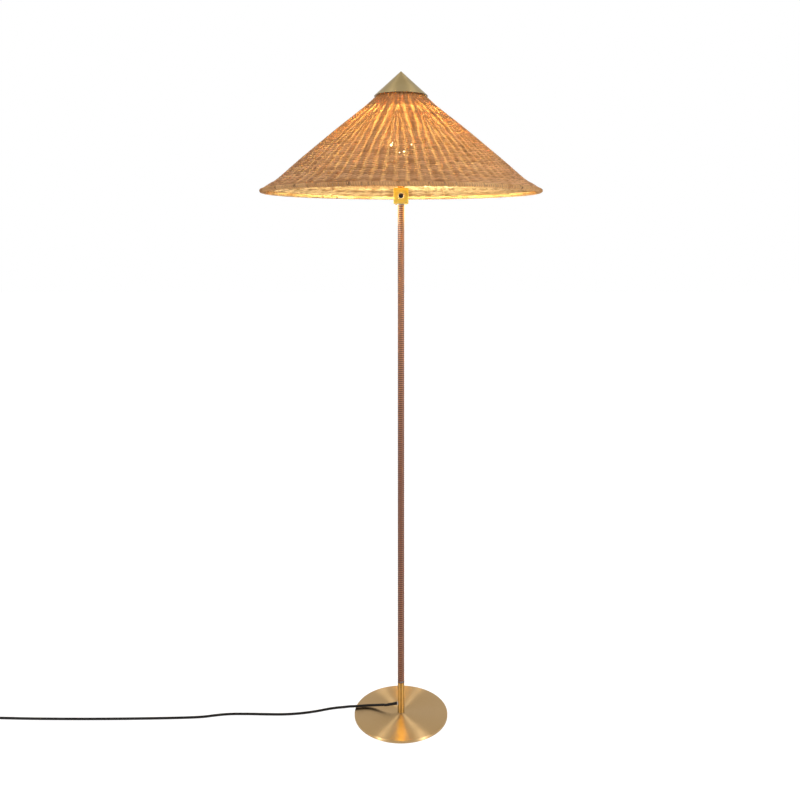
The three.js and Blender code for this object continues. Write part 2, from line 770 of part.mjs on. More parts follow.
const seatBottom = eyeTop + CLEAR;
const seatTop = seatBottom + STUD_SEAT_HEIGHT;
const hubBottom = seatTop + CLEAR;
const hubTop = hubBottom + HUB_HEIGHT;
const shadeTop = hubTop + HUB_DEPTH;
const capBottom = shadeTop - CAP_OVERLAP;
const capApex = capBottom + CAP_HEIGHT;
const studTop = capApex - STUD_TIP_DEPTH;
add('harp_stud', turned([
  [0, eyeBottom - CLEAR - STUD_RIVET_HEIGHT],
  [STUD_RIVET_RADIUS, eyeBottom - CLEAR - STUD_RIVET_HEIGHT],
  [STUD_RIVET_RADIUS, eyeBottom - CLEAR],
  [STUD_RADIUS, eyeBottom - CLEAR],
  [STUD_RADIUS, seatBottom],
  [STUD_SEAT_RADIUS, seatBottom],
  [STUD_SEAT_RADIUS, seatTop],
  [STUD_RADIUS, seatTop],
  [STUD_RADIUS, studTop],
  [0, studTop],
], TUBE_SIDES), POLISHED_BRASS);

// Lampholder: cup, shell, ceramic core, threaded sleeve and centre contact

const cupTop = holderBottom + HOLDER_CUP_HEIGHT;
const shellBottom = cupTop + CLEAR;
const shellTop = shellBottom + HOLDER_SHELL_HEIGHT;
const coreBottom = cupTop - CORE_SINK;
const coreFloorTop = coreBottom + CORE_FLOOR;
const coreTop = shellTop - HOLDER_SKIN - CLEAR;
const coreRadius = HOLDER_RADIUS - HOLDER_SKIN - CLEAR;
const CUP_SHOULDER_SHARE = 0.5; // where the cup turns from cone to cylinder
const shoulder = holderBottom + HOLDER_CUP_HEIGHT * CUP_SHOULDER_SHARE;

add('holder_cup', turned([
  [nippleBore, holderBottom],
  [HOLDER_CUP_FLOOR_RADIUS, holderBottom],
  [HOLDER_RADIUS, shoulder],
  [HOLDER_RADIUS, cupTop],
  [HOLDER_RADIUS - HOLDER_SKIN, cupTop],
  [HOLDER_RADIUS - HOLDER_SKIN, shoulder + HOLDER_SKIN / 2],
  [HOLDER_CUP_FLOOR_RADIUS - HOLDER_SKIN / 2, holderBottom + HOLDER_SKIN],
  [nippleBore, holderBottom + HOLDER_SKIN],
  [nippleBore, holderBottom],
], ROUND_SIDES), POLISHED_BRASS);

add('holder_shell', turned([
  [HOLDER_RADIUS - HOLDER_SKIN, shellBottom],
  [HOLDER_RADIUS, shellBottom],
  [HOLDER_RADIUS, shellTop],
  [HOLDER_MOUTH_RADIUS, shellTop],
  [HOLDER_MOUTH_RADIUS, shellTop - HOLDER_SKIN],
  [HOLDER_RADIUS - HOLDER_SKIN, shellTop - HOLDER_SKIN],
  [HOLDER_RADIUS - HOLDER_SKIN, shellBottom],
], ROUND_SIDES), POLISHED_BRASS);

const coreBore = SCREW_SHELL_RADIUS + CLEAR;
add('holder_core', turned([
  [0, coreBottom],
  [coreRadius - CLEAR, coreBottom],
  [coreRadius - CLEAR, coreTop],
  [coreBore, coreTop],
  [coreBore, coreFloorTop],
  [0, coreFloorTop],
], ROUND_SIDES), CERAMIC);

const screwShellBottom = coreFloorTop + CLEAR;
add('holder_thread_sleeve', ring(
  SCREW_SHELL_RADIUS - SCREW_SHELL_SKIN, SCREW_SHELL_RADIUS,
  screwShellBottom, screwShellBottom + SCREW_SHELL_HEIGHT, ROUND_SIDES,
), STEEL);
const contactBottom = coreFloorTop + CLEAR;
const contactTop = contactBottom + CONTACT_HEIGHT;
add('holder_contact', disc(CONTACT_RADIUS, contactBottom, contactTop, TUBE_SIDES), POLISHED_BRASS);

// Bulb: contact tip, insulator, screw cap and glass

const tipBottom = contactTop + CLEAR;
const tipTop = tipBottom + BULB_TIP_HEIGHT;
const insulatorBottom = tipTop + CLEAR;
const insulatorTop = insulatorBottom + BULB_INSULATOR_HEIGHT;
const bulbCapBottom = insulatorTop + CLEAR;
const bulbCapTop = bulbCapBottom + BULB_CAP_HEIGHT;
const glassBottom = bulbCapTop - BULB_NECK_SINK;

const TIP_EDGE_SHARE = 0.6; // width of the contact tip where it touches
add('bulb_tip', turned([
  [0, tipBottom],
  [BULB_TIP_RADIUS * TIP_EDGE_SHARE, tipBottom],
  [BULB_TIP_RADIUS, tipTop],
  [0, tipTop],
], 12), STEEL);
add('bulb_insulator', turned([
  [0, insulatorBottom],
  [BULB_TIP_RADIUS, insulatorBottom],
  [BULB_CAP_RADIUS - BULB_CAP_SKIN, insulatorTop],
  [0, insulatorTop],
], ROUND_SIDES), BLACK_PLASTIC);
add('bulb_screw_cap', ring(
  BULB_CAP_RADIUS - BULB_CAP_SKIN, BULB_CAP_RADIUS, bulbCapBottom, bulbCapTop, ROUND_SIDES,
), STEEL);

// Glass outline from the neck to the crown, as shares of its height and of its swell
const BULB_OUTLINE_SHARES = [
  [0, 0],
  [0.1, 0.02],
  [0.22, 0.2],
  [0.38, 0.66],
  [0.5, 0.91],
  [0.6, 1],
  [0.72, 0.93],
  [0.83, 0.7],
];
const BULB_CROWN_SHARES = [
  [0.92, 0.68],
  [0.98, 0.36],
  [1, 0],
];

function glassOutline(inset) {
  const neck = BULB_NECK_RADIUS - inset;
  const swell = BULB_RADIUS - BULB_NECK_RADIUS;
  const height = BULB_GLASS_HEIGHT - inset;
  const widest = BULB_RADIUS - inset;
  const side = BULB_OUTLINE_SHARES.map(([up, out]) => [neck + swell * out, glassBottom + height * up]);
  const crown = BULB_CROWN_SHARES.map(([up, out]) => [widest * out, glassBottom + height * up]);
  return [...side, ...crown];
}

const glassOutside = glassOutline(0);
const glassInside = glassOutline(BULB_GLASS).reverse();
add('bulb_glass', turned([...glassOutside, ...glassInside, glassOutside[0]], ROUND_SIDES), OPAL_GLASS);

// Woven shade as a thin wall of revolution

const shadeBottom = shadeTop - SHADE_HEIGHT;
const shadeSpread = SHADE_RIM_RADIUS - SHADE_TOP_RADIUS;
const outerWall = SHADE_OUTLINE_SHARES.map(([up, out]) => (
  new THREE.Vector2(SHADE_TOP_RADIUS + shadeSpread * out, shadeBottom + SHADE_HEIGHT * up)
));

// Moves the outline square to itself, and trims it to the same top and bottom.
function innerWall() {
  return outerWall.map((point, i) => {
    const before = outerWall[Math.max(i - 1, 0)];
    const after = outerWall[Math.min(i + 1, outerWall.length - 1)];
    const slope = (before.x - after.x) / (after.y - before.y);
    const sideways = SHADE_WALL * Math.sqrt(1 + slope * slope);
    return new THREE.Vector2(point.x - sideways, point.y);
  });
}

const shadeInside = innerWall();
add('shade_weave', turned([
  ...outerWall.map((point) => point.toArray()),
  ...shadeInside.map((point) => point.toArray()).reverse(),
  outerWall[0].toArray(),
], SHADE_SIDES), WICKER);

function radiusAt(wall, height) {
  const above = wall.findIndex((point) => point.y >= height);
  const [low, high] = [wall[above - 1], wall[above]];
  return low.x + ((high.x - low.x) * (height - low.y)) / (high.y - low.y);
}

// Rolled border at the rim, open on its inner side for the steel wire

const borderRound = BORDER_THICKNESS / 2;
const borderCentre = SHADE_RIM_RADIUS + BORDER_OVERHANG - borderRound;
const borderHeight = shadeBottom - CLEAR - borderRound;
const wireRadius = borderCentre - borderRound + RIM_WIRE_DEPTH;
const grooveHalf = RIM_WIRE + CLEAR;
const grooveAngle = Math.asin(grooveHalf / borderRound);
const borderOutline = arcPoints(
  borderCentre, borderHeight, borderRound, -Math.PI + grooveAngle, Math.PI - grooveAngle, BORDER_STEPS,
);
add('shade_border', turned([
  ...borderOutline,
  [wireRadius + grooveHalf, borderHeight + grooveHalf],
  [wireRadius + grooveHalf, borderHeight - grooveHalf],
  borderOutline[0],
], SHADE_SIDES), WICKER);

function hoop(radius, height, wire, sides) {
  return turned(arcPoints(radius, height, wire, 0, 2 * Math.PI, CORE_SIDES), sides);
}

add('shade_rim_wire', hoop(wireRadius, borderHeight, RIM_WIRE, SHADE_SIDES), STEEL);

// Top wire, three arms and the hub that sits on the harp's stud

const topWireHeight = shadeTop - TOP_WIRE_DROP;
const topSlope = shadeSpread / SHADE_HEIGHT;
const topWireGap = (TOP_WIRE + CLEAR) * Math.sqrt(1 + topSlope * topSlope);
const topWireRadius = radiusAt(shadeInside, topWireHeight) - topWireGap;
add('shade_top_wire', hoop(topWireRadius, topWireHeight, TOP_WIRE, SHADE_SIDES / 2), STEEL);

add('shade_hub', ring(eyeBore, HUB_RADIUS, hubBottom, hubTop, ROUND_SIDES), STEEL);

const hubMiddle = (hubBottom + hubTop) / 2;
const armTilt = Math.atan2(topWireHeight - hubMiddle, topWireRadius - HUB_RADIUS);
const armRun = Math.hypot(topWireHeight - hubMiddle, topWireRadius - HUB_RADIUS);
const armStart = (CLEAR + ARM_RADIUS * Math.sin(armTilt)) / Math.cos(armTilt);
const armEnd = armRun - TOP_WIRE - CLEAR;
for (let arm = 0; arm < ARM_COUNT; arm += 1) {
  const rod = disc(ARM_RADIUS, armStart, armEnd, WRAP_POINTS)
    .rotateY(Math.PI / 2 - armTilt)
    .translate(HUB_RADIUS, 0, hubMiddle)
    .rotateZ(Math.PI / 2 + (arm * 2 * Math.PI) / ARM_COUNT);
  add(`shade_arm_${arm + 1}`, rod, STEEL);
}

// Spun cap and the threaded boss inside it

const capSlope = CAP_RADIUS / CAP_HEIGHT;
const capSkinDrop = CAP_SKIN * Math.sqrt(1 + 1 / (capSlope * capSlope));
const capSkinSide = capSkinDrop * capSlope;
add('cap_cone', turned([
  [0, capApex],
  [CAP_RADIUS, capBottom],
  [CAP_RADIUS - capSkinSide, capBottom],
  [0, capApex - capSkinDrop],
], CAP_SIDES), SATIN_BRASS);

const bossBottom = hubTop + CLEAR;
const bossGap = CLEAR * Math.sqrt(1 + 1 / (capSlope * capSlope));
const bossTip = capApex - capSkinDrop - bossGap;
const BOSS_TIP_SHARE = 0.5; // the boss's top is this share of its width
const bossTipRadius = CAP_BOSS_RADIUS * BOSS_TIP_SHARE;
add('cap_boss', turned([
  [eyeBore, bossBottom],
  [CAP_BOSS_RADIUS, bossBottom],
  [CAP_BOSS_RADIUS, bossTip - CAP_BOSS_RADIUS / capSlope],
  [bossTipRadius, bossTip - bossTipRadius / capSlope],
  [0, bossTip - bossTipRadius / capSlope],
  [0, studTop + CAP_BORE_REST],
  [eyeBore, studTop + CAP_BORE_REST],
  [eyeBore, bossBottom],
], TUBE_SIDES), POLISHED_BRASS);

// Bushing and strain relief where the lead leaves the foot socket

const bushingBore = LEAD_RADIUS + CLEAR / 2;
const flangeInner = SOCKET_RADIUS + CLEAR;
const flangeOuter = flangeInner + BUSHING_FLANGE;

function towardsLead(geometry) {
  return geometry.rotateY(-Math.PI / 2).translate(0, 0, LEAD_HOLE_HEIGHT);
}

add('lead_bushing', towardsLead(turned([
  [bushingBore, SOCKET_CHAMBER_RADIUS],
  [BUSHING_RADIUS, SOCKET_CHAMBER_RADIUS],
  [BUSHING_RADIUS, flangeInner],
  [BUSHING_FLANGE_RADIUS, flangeInner],
  [BUSHING_FLANGE_RADIUS, flangeOuter],
  [bushingBore, flangeOuter],
  [bushingBore, SOCKET_CHAMBER_RADIUS],
], TUBE_SIDES)), GREY_NYLON);

const reliefStart = flangeOuter + CLEAR;
const reliefInside = reliefStart - SOCKET_RADIUS + SOCKET_CHAMBER_RADIUS;
const reliefWay = new THREE.Vector3(
  -Math.cos(RELIEF_DROOP) * Math.cos(RELIEF_SWING),
  Math.cos(RELIEF_DROOP) * Math.sin(RELIEF_SWING),
  -Math.sin(RELIEF_DROOP),
);
const reliefOut = reliefStart + RELIEF_ROOT_RADIUS * Math.sin(RELIEF_DROOP);
const reliefRoot = new THREE.Vector3(-reliefOut, 0, LEAD_HOLE_HEIGHT);
const reliefTip = reliefRoot.clone().addScaledVector(reliefWay, RELIEF_LENGTH);
const upwards = new THREE.Vector3(0, 0, 1);
const reliefTurn = new THREE.Quaternion().setFromUnitVectors(upwards, reliefWay);
const taper = turned([
  [0, 0],
  [RELIEF_ROOT_RADIUS, 0],
  [RELIEF_TIP_RADIUS, RELIEF_LENGTH],
  [0, RELIEF_LENGTH],
], RELIEF_SIDES).applyQuaternion(reliefTurn).translate(...reliefRoot.toArray());
const shankRadius = LEAD_RADIUS - CLEAR / 2;
const shankEnd = reliefStart + RELIEF_ROOT_RADIUS;
const shank = towardsLead(disc(shankRadius, reliefInside, shankEnd, RELIEF_SIDES));
add('lead_strain_relief', join(taper, shank), BLACK_PLASTIC);

// Insulated cores inside the stem and the head box

function core(name, points, material) {
  const centres = points.map((point) => new THREE.Vector3(...point));
  add(name, loft(tubeRings(centres, CORE_RADIUS, CORE_SIDES)), material);
}

const coreStart = -reliefInside + CLEAR;
const bendDepth = -coreStart; // from the core's start to the stem's axis
const coreBendTop = LEAD_HOLE_HEIGHT + bendDepth;
const tubeExit = tubeTop + CLEAR;
const holderEnd = holderBottom + NIPPLE_TOP_REACH;
const nippleMouth = roofBottom - NIPPLE_DROP - CLEAR;
const switchRear = SWITCH_BACK + CLEAR;
const rearSpace = cavity / 2 - SWITCH_BACK;
const terminalRise = neckRadius / 2;
const terminalOut = neckRadius / 2;

// Bends a core from the bushing up into the stem, then twists the pair a quarter turn on the way up.
function coreInStem(side) {
  const quarters = [0, 0.25, 0.5, 0.75, 1];
  const bend = quarters.map((share) => {
    const angle = (share * Math.PI) / 2;
    const out = coreStart + bendDepth * Math.sin(angle);
    return [out, side * CORE_SPACING, coreBendTop - bendDepth * Math.cos(angle)];
  });
  const twist = quarters.map((share) => {
    const angle = (share * Math.PI) / 2;
    const height = SOCKET_CHAMBER_TOP + (tubeExit - SOCKET_CHAMBER_TOP) * share;
    return [-side * CORE_SPACING * Math.sin(angle), side * CORE_SPACING * Math.cos(angle), height];
  });
  return [...bend, ...twist];
}

const behindSwitch = SWITCH_BACK + rearSpace / 4;
const aroundNut = terminalOut - CORE_RADIUS;

core('core_live', [
  ...coreInStem(-1),
  [aroundNut, SWITCH_BACK, tubeExit + CORE_SPACING],
  [terminalOut, behindSwitch, switchHeight - neckRadius],
  [terminalOut, behindSwitch, switchHeight - terminalRise / 2],
  [terminalOut, switchRear, switchHeight - terminalRise / 2],
], LIVE_BROWN);

core('core_neutral', [
  ...coreInStem(1),
  [-aroundNut, SWITCH_BACK, tubeExit + CORE_SPACING],
  [-terminalOut, behindSwitch, switchHeight - neckRadius],
  [-terminalOut, behindSwitch, switchHeight],
  [-terminalOut, behindSwitch - CORE_RADIUS, switchHeight + neckRadius],
  [-CORE_SPACING, 0, nippleMouth],
  [-CORE_SPACING, 0, holderEnd],
], NEUTRAL_BLUE);

core('core_switched', [
  [terminalOut, switchRear, switchHeight + terminalRise / 2],
  [terminalOut, behindSwitch, switchHeight + terminalRise / 2],
  [terminalOut, behindSwitch - CORE_RADIUS, switchHeight + neckRadius],
  [CORE_SPACING, 0, nippleMouth],
  [CORE_SPACING, 0, holderEnd],
], LIVE_BROWN);

// Mains lead over the foot and along the floor

const coilReach = (COIL_PITCH * COIL_TURNS) / 4;
const coilOuter = COIL_MEAN_RADIUS + coilReach;
const coilInner = COIL_MEAN_RADIUS - coilReach;
const straightEnd = 2 * LEAD_RADIUS;
const leadStart = reliefTip.clone().addScaledVector(reliefWay, CLEAR);
const leadEnd = new THREE.Vector3(COIL_CENTRE.x + straightEnd + CLEAR, COIL_CENTRE.y + coilOuter, COIL_LIFT);
const leadRoute = smoothCurve([
  leadStart,
  leadStart.clone().addScaledVector(reliefWay, straightEnd),
  ...LEAD_ROUTE.map((point) => new THREE.Vector3(...point)),
  leadEnd.clone().add(new THREE.Vector3(straightEnd, 0, 0)),
  leadEnd,
]);
add('lead_cord', wireAlong(leadRoute, LEAD_RADIUS, LEAD_SIDES, LEAD_STEPS), BLACK_PLASTIC);

// Coil of spare lead: it spirals in on the floor, climbs, and spirals out again on top

function coilCentres() {
  const steps = Math.round(COIL_TURNS * COIL_STEPS_PER_TURN);
  const centres = [new THREE.Vector3(COIL_CENTRE.x + straightEnd, COIL_CENTRE.y + coilOuter, COIL_LIFT)];
  for (let i = 0; i <= steps; i += 1) {
    const turns = (COIL_TURNS * i) / steps - COIL_TURNS / 2;
    const radius = coilInner + COIL_PITCH * Math.abs(turns);
    const climb = THREE.MathUtils.smoothstep(turns, -0.25, 0.25);
    const angle = Math.PI / 2 + 2 * Math.PI * (turns + COIL_TURNS / 2);
    centres.push(new THREE.Vector3(
      COIL_CENTRE.x + radius * Math.cos(angle),
      COIL_CENTRE.y + radius * Math.sin(angle),
      COIL_LIFT + COIL_PITCH * climb,
    ));
  }
  const end = centres[centres.length - 1];
  centres.push(end.clone().add(new THREE.Vector3(0, -straightEnd, 0)));
  return centres;
}

// Least distance between the surfaces of turns that lie beside or on each other.
function leastGap(centres, radius) {
  const apart = COIL_STEPS_PER_TURN / 2;
  let least = Infinity;
  for (let i = 0; i < centres.length; i += 1) {
    for (let j = i + apart; j < centres.length - 1; j += 1) {
      const span = new THREE.Line3(centres[j], centres[j + 1]);
      const nearest = span.closestPointToPoint(centres[i], true, new THREE.Vector3());
      least = Math.min(least, nearest.distanceTo(centres[i]) - 2 * radius);
    }
  }
  return least;
}

const coilPath = coilCentres();
console.log(`coil: least gap to itself ${leastGap(coilPath, LEAD_RADIUS).toFixed(2)} mm`);
add('lead_coil', loft(tubeRings(coilPath, LEAD_RADIUS, COIL_SIDES)), BLACK_PLASTIC);

// Tie round the coil's turns

const tieInnerWide = 2 * (coilReach + LEAD_RADIUS + TIE_SLACK);
const tieInnerHigh = COIL_PITCH + 2 * (LEAD_RADIUS + TIE_SLACK);

function band(wide, high, corner) {
  const [reachX, reachY] = [wide / 2 - corner, high / 2 - corner];
  const shape = new THREE.Shape();
  shape.absarc(reachX, reachY, corner, 0, Math.PI / 2);
  shape.absarc(-reachX, reachY, corner, Math.PI / 2, Math.PI);
  shape.absarc(-reachX, -reachY, corner, Math.PI, Math.PI * 1.5);
  shape.absarc(reachX, -reachY, corner, Math.PI * 1.5, Math.PI * 2);
  shape.closePath();
  return shape;
}

const tieGrowth = 2 * TIE_THICKNESS;
const tieOuter = band(tieInnerWide + tieGrowth, tieInnerHigh + tieGrowth, LEAD_RADIUS + TIE_THICKNESS);
const tieInner = band(tieInnerWide, tieInnerHigh, LEAD_RADIUS);
const tieLoop = cut(
  plate(tieOuter, -TIE_WIDTH / 2, TIE_WIDTH / 2, 4),
  plate(tieInner, -TIE_WIDTH / 2 - OVERRUN, TIE_WIDTH / 2 + OVERRUN, 4),
);
const tie = add('lead_tie', tieLoop.rotateX(Math.PI / 2), BLACK_PLASTIC);
tie.rotation.z = TIE_ANGLE;
tie.position.set(
  COIL_CENTRE.x + COIL_MEAN_RADIUS * Math.cos(TIE_ANGLE),
  COIL_CENTRE.y + COIL_MEAN_RADIUS * Math.sin(TIE_ANGLE),
  COIL_LIFT + COIL_PITCH / 2,
);

// Tail of the lead, plug with its strain relief and two pins

const plugAxis = PLUG_FLOOR_GAP + PLUG_THICKNESS / 2;
const coilEnd = coilPath[coilPath.length - 1];
const tailStart = coilEnd.clone().add(new THREE.Vector3(0, -CLEAR, 0));
const tailEnd = new THREE.Vector3(tailStart.x, tailStart.y - TAIL_LENGTH, plugAxis);
const tailRoute = smoothCurve([
  tailStart,
  tailStart.clone().add(new THREE.Vector3(0, -straightEnd, 0)),
  tailEnd.clone().add(new THREE.Vector3(0, straightEnd, 0)),
  tailEnd,
]);
add('lead_tail', wireAlong(tailRoute, LEAD_RADIUS, LEAD_SIDES, 6), BLACK_PLASTIC);

const plugPlace = new THREE.Vector3(tailEnd.x, tailEnd.y - CLEAR, plugAxis);
const plug = new THREE.Group();
plug.position.copy(plugPlace);
plug.rotation.x = Math.PI / 2;
lamp.add(plug);

function addToPlug(name, geometry, material) {
  const mesh = new THREE.Mesh(geometry, material);
  mesh.name = name;
  plug.add(mesh);
  return mesh;
}

addToPlug('plug_strain_relief', disc(PLUG_RELIEF_ROOT, 0, PLUG_RELIEF_LENGTH, RELIEF_SIDES), BLACK_PLASTIC);
const plugBack = PLUG_RELIEF_LENGTH + CLEAR;
const plugFront = plugBack + PLUG_LENGTH;

// The plug widens from the lead to its face.
const WAIST_END_SHARE = 0.25;
const SHOULDER_SHARE = 0.6;
const plugOutline = new THREE.Shape();
plugOutline.moveTo(-PLUG_WAIST / 2, plugBack);
plugOutline.lineTo(PLUG_WAIST / 2, plugBack);
plugOutline.lineTo(PLUG_WAIST / 2, plugBack + PLUG_LENGTH * WAIST_END_SHARE);
plugOutline.lineTo(PLUG_WIDTH / 2, plugBack + PLUG_LENGTH * SHOULDER_SHARE);
plugOutline.lineTo(PLUG_WIDTH / 2, plugFront - PLUG_CORNER);
plugOutline.lineTo(PLUG_WIDTH / 2 - PLUG_CORNER, plugFront);
plugOutline.lineTo(-PLUG_WIDTH / 2 + PLUG_CORNER, plugFront);
plugOutline.lineTo(-PLUG_WIDTH / 2, plugFront - PLUG_CORNER);
plugOutline.lineTo(-PLUG_WIDTH / 2, plugBack + PLUG_LENGTH * SHOULDER_SHARE);
plugOutline.lineTo(-PLUG_WAIST / 2, plugBack + PLUG_LENGTH * WAIST_END_SHARE);
plugOutline.closePath();
const plugHalf = PLUG_THICKNESS / 2;
const plugBlock = plate(plugOutline, -plugHalf, plugHalf).rotateX(Math.PI / 2).rotateZ(Math.PI);
addToPlug('plug_body', plugBlock, BLACK_PLASTIC);

legSigns.forEach((sign, i) => {
  const pinBottom = plugFront + CLEAR;
  const pin = turned([
    [0, pinBottom],
    [PIN_RADIUS, pinBottom],
    [PIN_RADIUS, pinBottom + PIN_LENGTH - PIN_NOSE],
    [PIN_RADIUS - PIN_NOSE, pinBottom + PIN_LENGTH],
    [0, pinBottom + PIN_LENGTH],
  ], WRAP_POINTS);
  addToPlug(`plug_pin_${i + 1}`, pin, STEEL).position.x = (sign * PIN_SPACING) / 2;
});

export default lamp;
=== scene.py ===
# %% [markdown]
# # A rattan floor lamp, dressed over its imported solids
# The lamp is a wide wicker cone on a slim stem wound with cane, with brass at the cap, the head, the collar
# and the foot. The hard solids come from model.glb. This lesson gives every solid its finish, and makes the
# soft and wound pieces again in full: the weave, the rolled rim, the winding and the lead.

# %% The imported solids, and their box
import math

import bmesh
import bpy
import numpy as np
from mathutils import Matrix, Vector


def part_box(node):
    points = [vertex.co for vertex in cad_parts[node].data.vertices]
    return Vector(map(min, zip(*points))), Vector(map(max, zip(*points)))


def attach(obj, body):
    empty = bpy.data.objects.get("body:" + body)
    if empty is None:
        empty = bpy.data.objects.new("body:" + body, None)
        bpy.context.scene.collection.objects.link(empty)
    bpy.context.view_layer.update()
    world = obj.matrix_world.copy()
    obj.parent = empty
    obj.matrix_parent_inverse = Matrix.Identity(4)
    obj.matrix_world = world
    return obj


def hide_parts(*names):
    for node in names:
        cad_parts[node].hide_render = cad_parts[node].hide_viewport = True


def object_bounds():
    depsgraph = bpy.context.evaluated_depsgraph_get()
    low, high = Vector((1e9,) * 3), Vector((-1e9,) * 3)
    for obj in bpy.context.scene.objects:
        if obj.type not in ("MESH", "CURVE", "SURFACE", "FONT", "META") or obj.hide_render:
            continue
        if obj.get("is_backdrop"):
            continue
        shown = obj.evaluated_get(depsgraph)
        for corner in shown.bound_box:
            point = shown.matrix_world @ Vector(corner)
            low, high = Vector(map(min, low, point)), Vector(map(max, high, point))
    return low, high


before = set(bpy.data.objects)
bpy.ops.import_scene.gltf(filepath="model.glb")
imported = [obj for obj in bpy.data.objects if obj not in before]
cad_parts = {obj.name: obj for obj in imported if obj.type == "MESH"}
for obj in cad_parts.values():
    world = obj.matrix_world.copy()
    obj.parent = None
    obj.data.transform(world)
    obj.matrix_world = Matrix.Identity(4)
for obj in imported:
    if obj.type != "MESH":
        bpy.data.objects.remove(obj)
cad_box = [list(corner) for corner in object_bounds()]

# %% [markdown]
# ## The camera
# The photograph has upright verticals and a horizon well above the middle, which is what a level camera with
# a shifted lens gives. A 36 mm lens on a 36 mm sensor sees a metre of width for each metre of distance, so
# the places below could be worked out from the ellipses of the rim and of the foot.

# %% Camera
MM = 0.001
CAMERA_DISTANCE, CAMERA_HEIGHT = 1.728, 1.041
LENS_SHIFT = (-0.00125, -0.2096)


def add_object(name, data):
    """Put new data in the scene as an object at the origin."""
    thing = bpy.data.objects.new(name, data)
    bpy.context.scene.collection.objects.link(thing)
    return thing


camera = add_object("camera", bpy.data.cameras.new("camera"))
camera.location = (0, -CAMERA_DISTANCE, CAMERA_HEIGHT)
camera.rotation_euler = (math.radians(90), 0, 0)
camera.data.lens = 36
camera.data.sensor_width = 36
camera.data.shift_x, camera.data.shift_y = LENS_SHIFT
bpy.context.scene.camera = camera
print("camera:", CAMERA_DISTANCE, "m in front,", CAMERA_HEIGHT, "m up")

# %% [markdown]
# ## Colours and nodes
# A maker names a colour by the hex value that a screen shows. The renderer wants linear light, so one
# function converts it. Materials are small node trees: one function fills a node's inputs, with a value or
# with another node's output, and one adds a node with its settings and inputs. Hardly any real surface is one
# flat colour. So most finishes here drift a little between two tones, and in roughness and relief where the
# real one does.

# %% Helpers for materials
def linear(hex_colour):
    """Turn an sRGB hex colour into linear red, green, blue and alpha."""
    channels = [int(hex_colour[i:i + 2], 16) / 255 for i in (1, 3, 5)]
    return [c / 12.92 if c <= 0.04045 else ((c + 0.055) / 1.055) ** 2.4 for c in channels] + [1.0]


def feed(node, inputs):
    """Fill a node's inputs, each with a hex colour, another value, or a link from another node's output."""
    for key, value in inputs.items():
        if isinstance(value, bpy.types.NodeSocket):
            node.id_data.links.new(value, node.inputs[key])
        else:
            node.inputs[key].default_value = linear(value) if isinstance(value, str) else value
    return node


def add_node(owner, kind, inputs=None, **settings):
    """Add one node to a material or a world, with its settings and its inputs, and give its outputs."""
    node = owner.node_tree.nodes.new("ShaderNode" + kind)
    for name, value in settings.items():
        setattr(node, name, value)
    return feed(node, inputs or {}).outputs


def new_material(name, **surface):
    """Start a material, and fill its shader's own sockets with what is the same all over."""
    material = bpy.data.materials.new(name)
    material.use_nodes = True
    shader = material.node_tree.nodes["Principled BSDF"]
    feed(shader, {key.replace("_", " "): value for key, value in surface.items()})
    print("material:", name)
    return material, shader


def layered(material, colour, *layers):
    """Lay colours over a first one, each by its own share from 0 to 1."""
    for share, over in layers:
        colour = add_node(material, "Mix", {0: share, 6: colour, 7: over}, data_type="RGBA")[2]
    return colour


def soft_noise(material, place, scale, detail=3.0, low=0.35, high=0.65):
    """Noise stretched to the whole of 0 to 1. Three scales, one for each axis, draw it out into a grain."""
    if isinstance(scale, tuple):
        place = add_node(material, "Mapping", {"Vector": place, "Scale": scale})["Vector"]
        scale = 1.0
    noise = add_node(material, "TexNoise", {"Vector": place, "Scale": scale, "Detail": detail})
    whole_range = {"Value": noise["Fac"], "From Min": low, "From Max": high}
    return add_node(material, "MapRange", whole_range)["Result"]


def mottled(name, scale, first, second, detail=3.0, rough=None, relief=None, relief_scale=None, **surface):
    """A finish that drifts between two tones, and in roughness from one value to another if two are given.

    Relief is a depth in millimetres and a strength. It follows the same noise, or one with its own scale.
    """
    material, shader = new_material(name, **surface)
    place = add_node(material, "TexCoord")["Object"]
    cloud = soft_noise(material, place, scale, detail)
    feed(shader, {"Base Color": layered(material, first, (cloud, second))})
    if rough:
        drift = {"Value": cloud, "To Min": rough[0], "To Max": rough[1]}
        feed(shader, {"Roughness": add_node(material, "MapRange", drift)["Result"]})
    if relief:
        height = soft_noise(material, place, relief_scale) if relief_scale else cloud
        slopes = {"Height": height, "Distance": relief[0] * MM, "Strength": relief[1]}
        feed(shader, {"Normal": add_node(material, "Bump", slopes)["Normal"]})
    return material


def axis_distance(material, place):
    """How far a place is from the upright axis, in metres."""
    flat = add_node(material, "VectorMath", {0: place, 1: (1, 1, 0)}, operation="MULTIPLY")["Vector"]
    return add_node(material, "VectorMath", {0: flat}, operation="LENGTH")["Value"]


# %% [markdown]
# ## Helpers for shapes
# Most hard pieces of a lamp are turned on a lathe or spun from sheet. An outline of radius and height, with
# the radius of each rounded corner, is bevelled while it is still a line and then spun a full turn. Square
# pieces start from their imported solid, whose loose triangles are merged first, and then get their edges
# rounded, because a real edge always catches a line of light. Wires are curves with a round section.

# %% Helpers for shapes
MERGE = 0.002 * MM
WIRE_FINENESS = 8


def piece_from(bm, name, crisp=35):
    """Merge, turn outwards and shade a bmesh as an object. Edges sharper than crisp degrees stay sharp."""
    bmesh.ops.remove_doubles(bm, verts=bm.verts, dist=MERGE)
    bmesh.ops.recalc_face_normals(bm, faces=bm.faces)
    for face in bm.faces:
        face.smooth = True
    for edge in bm.edges:
        edge.smooth = edge.calc_face_angle(0) < math.radians(crisp)
    mesh = bpy.data.meshes.new(name)
    bm.to_mesh(mesh)
    bm.free()
    return add_object(name, mesh)


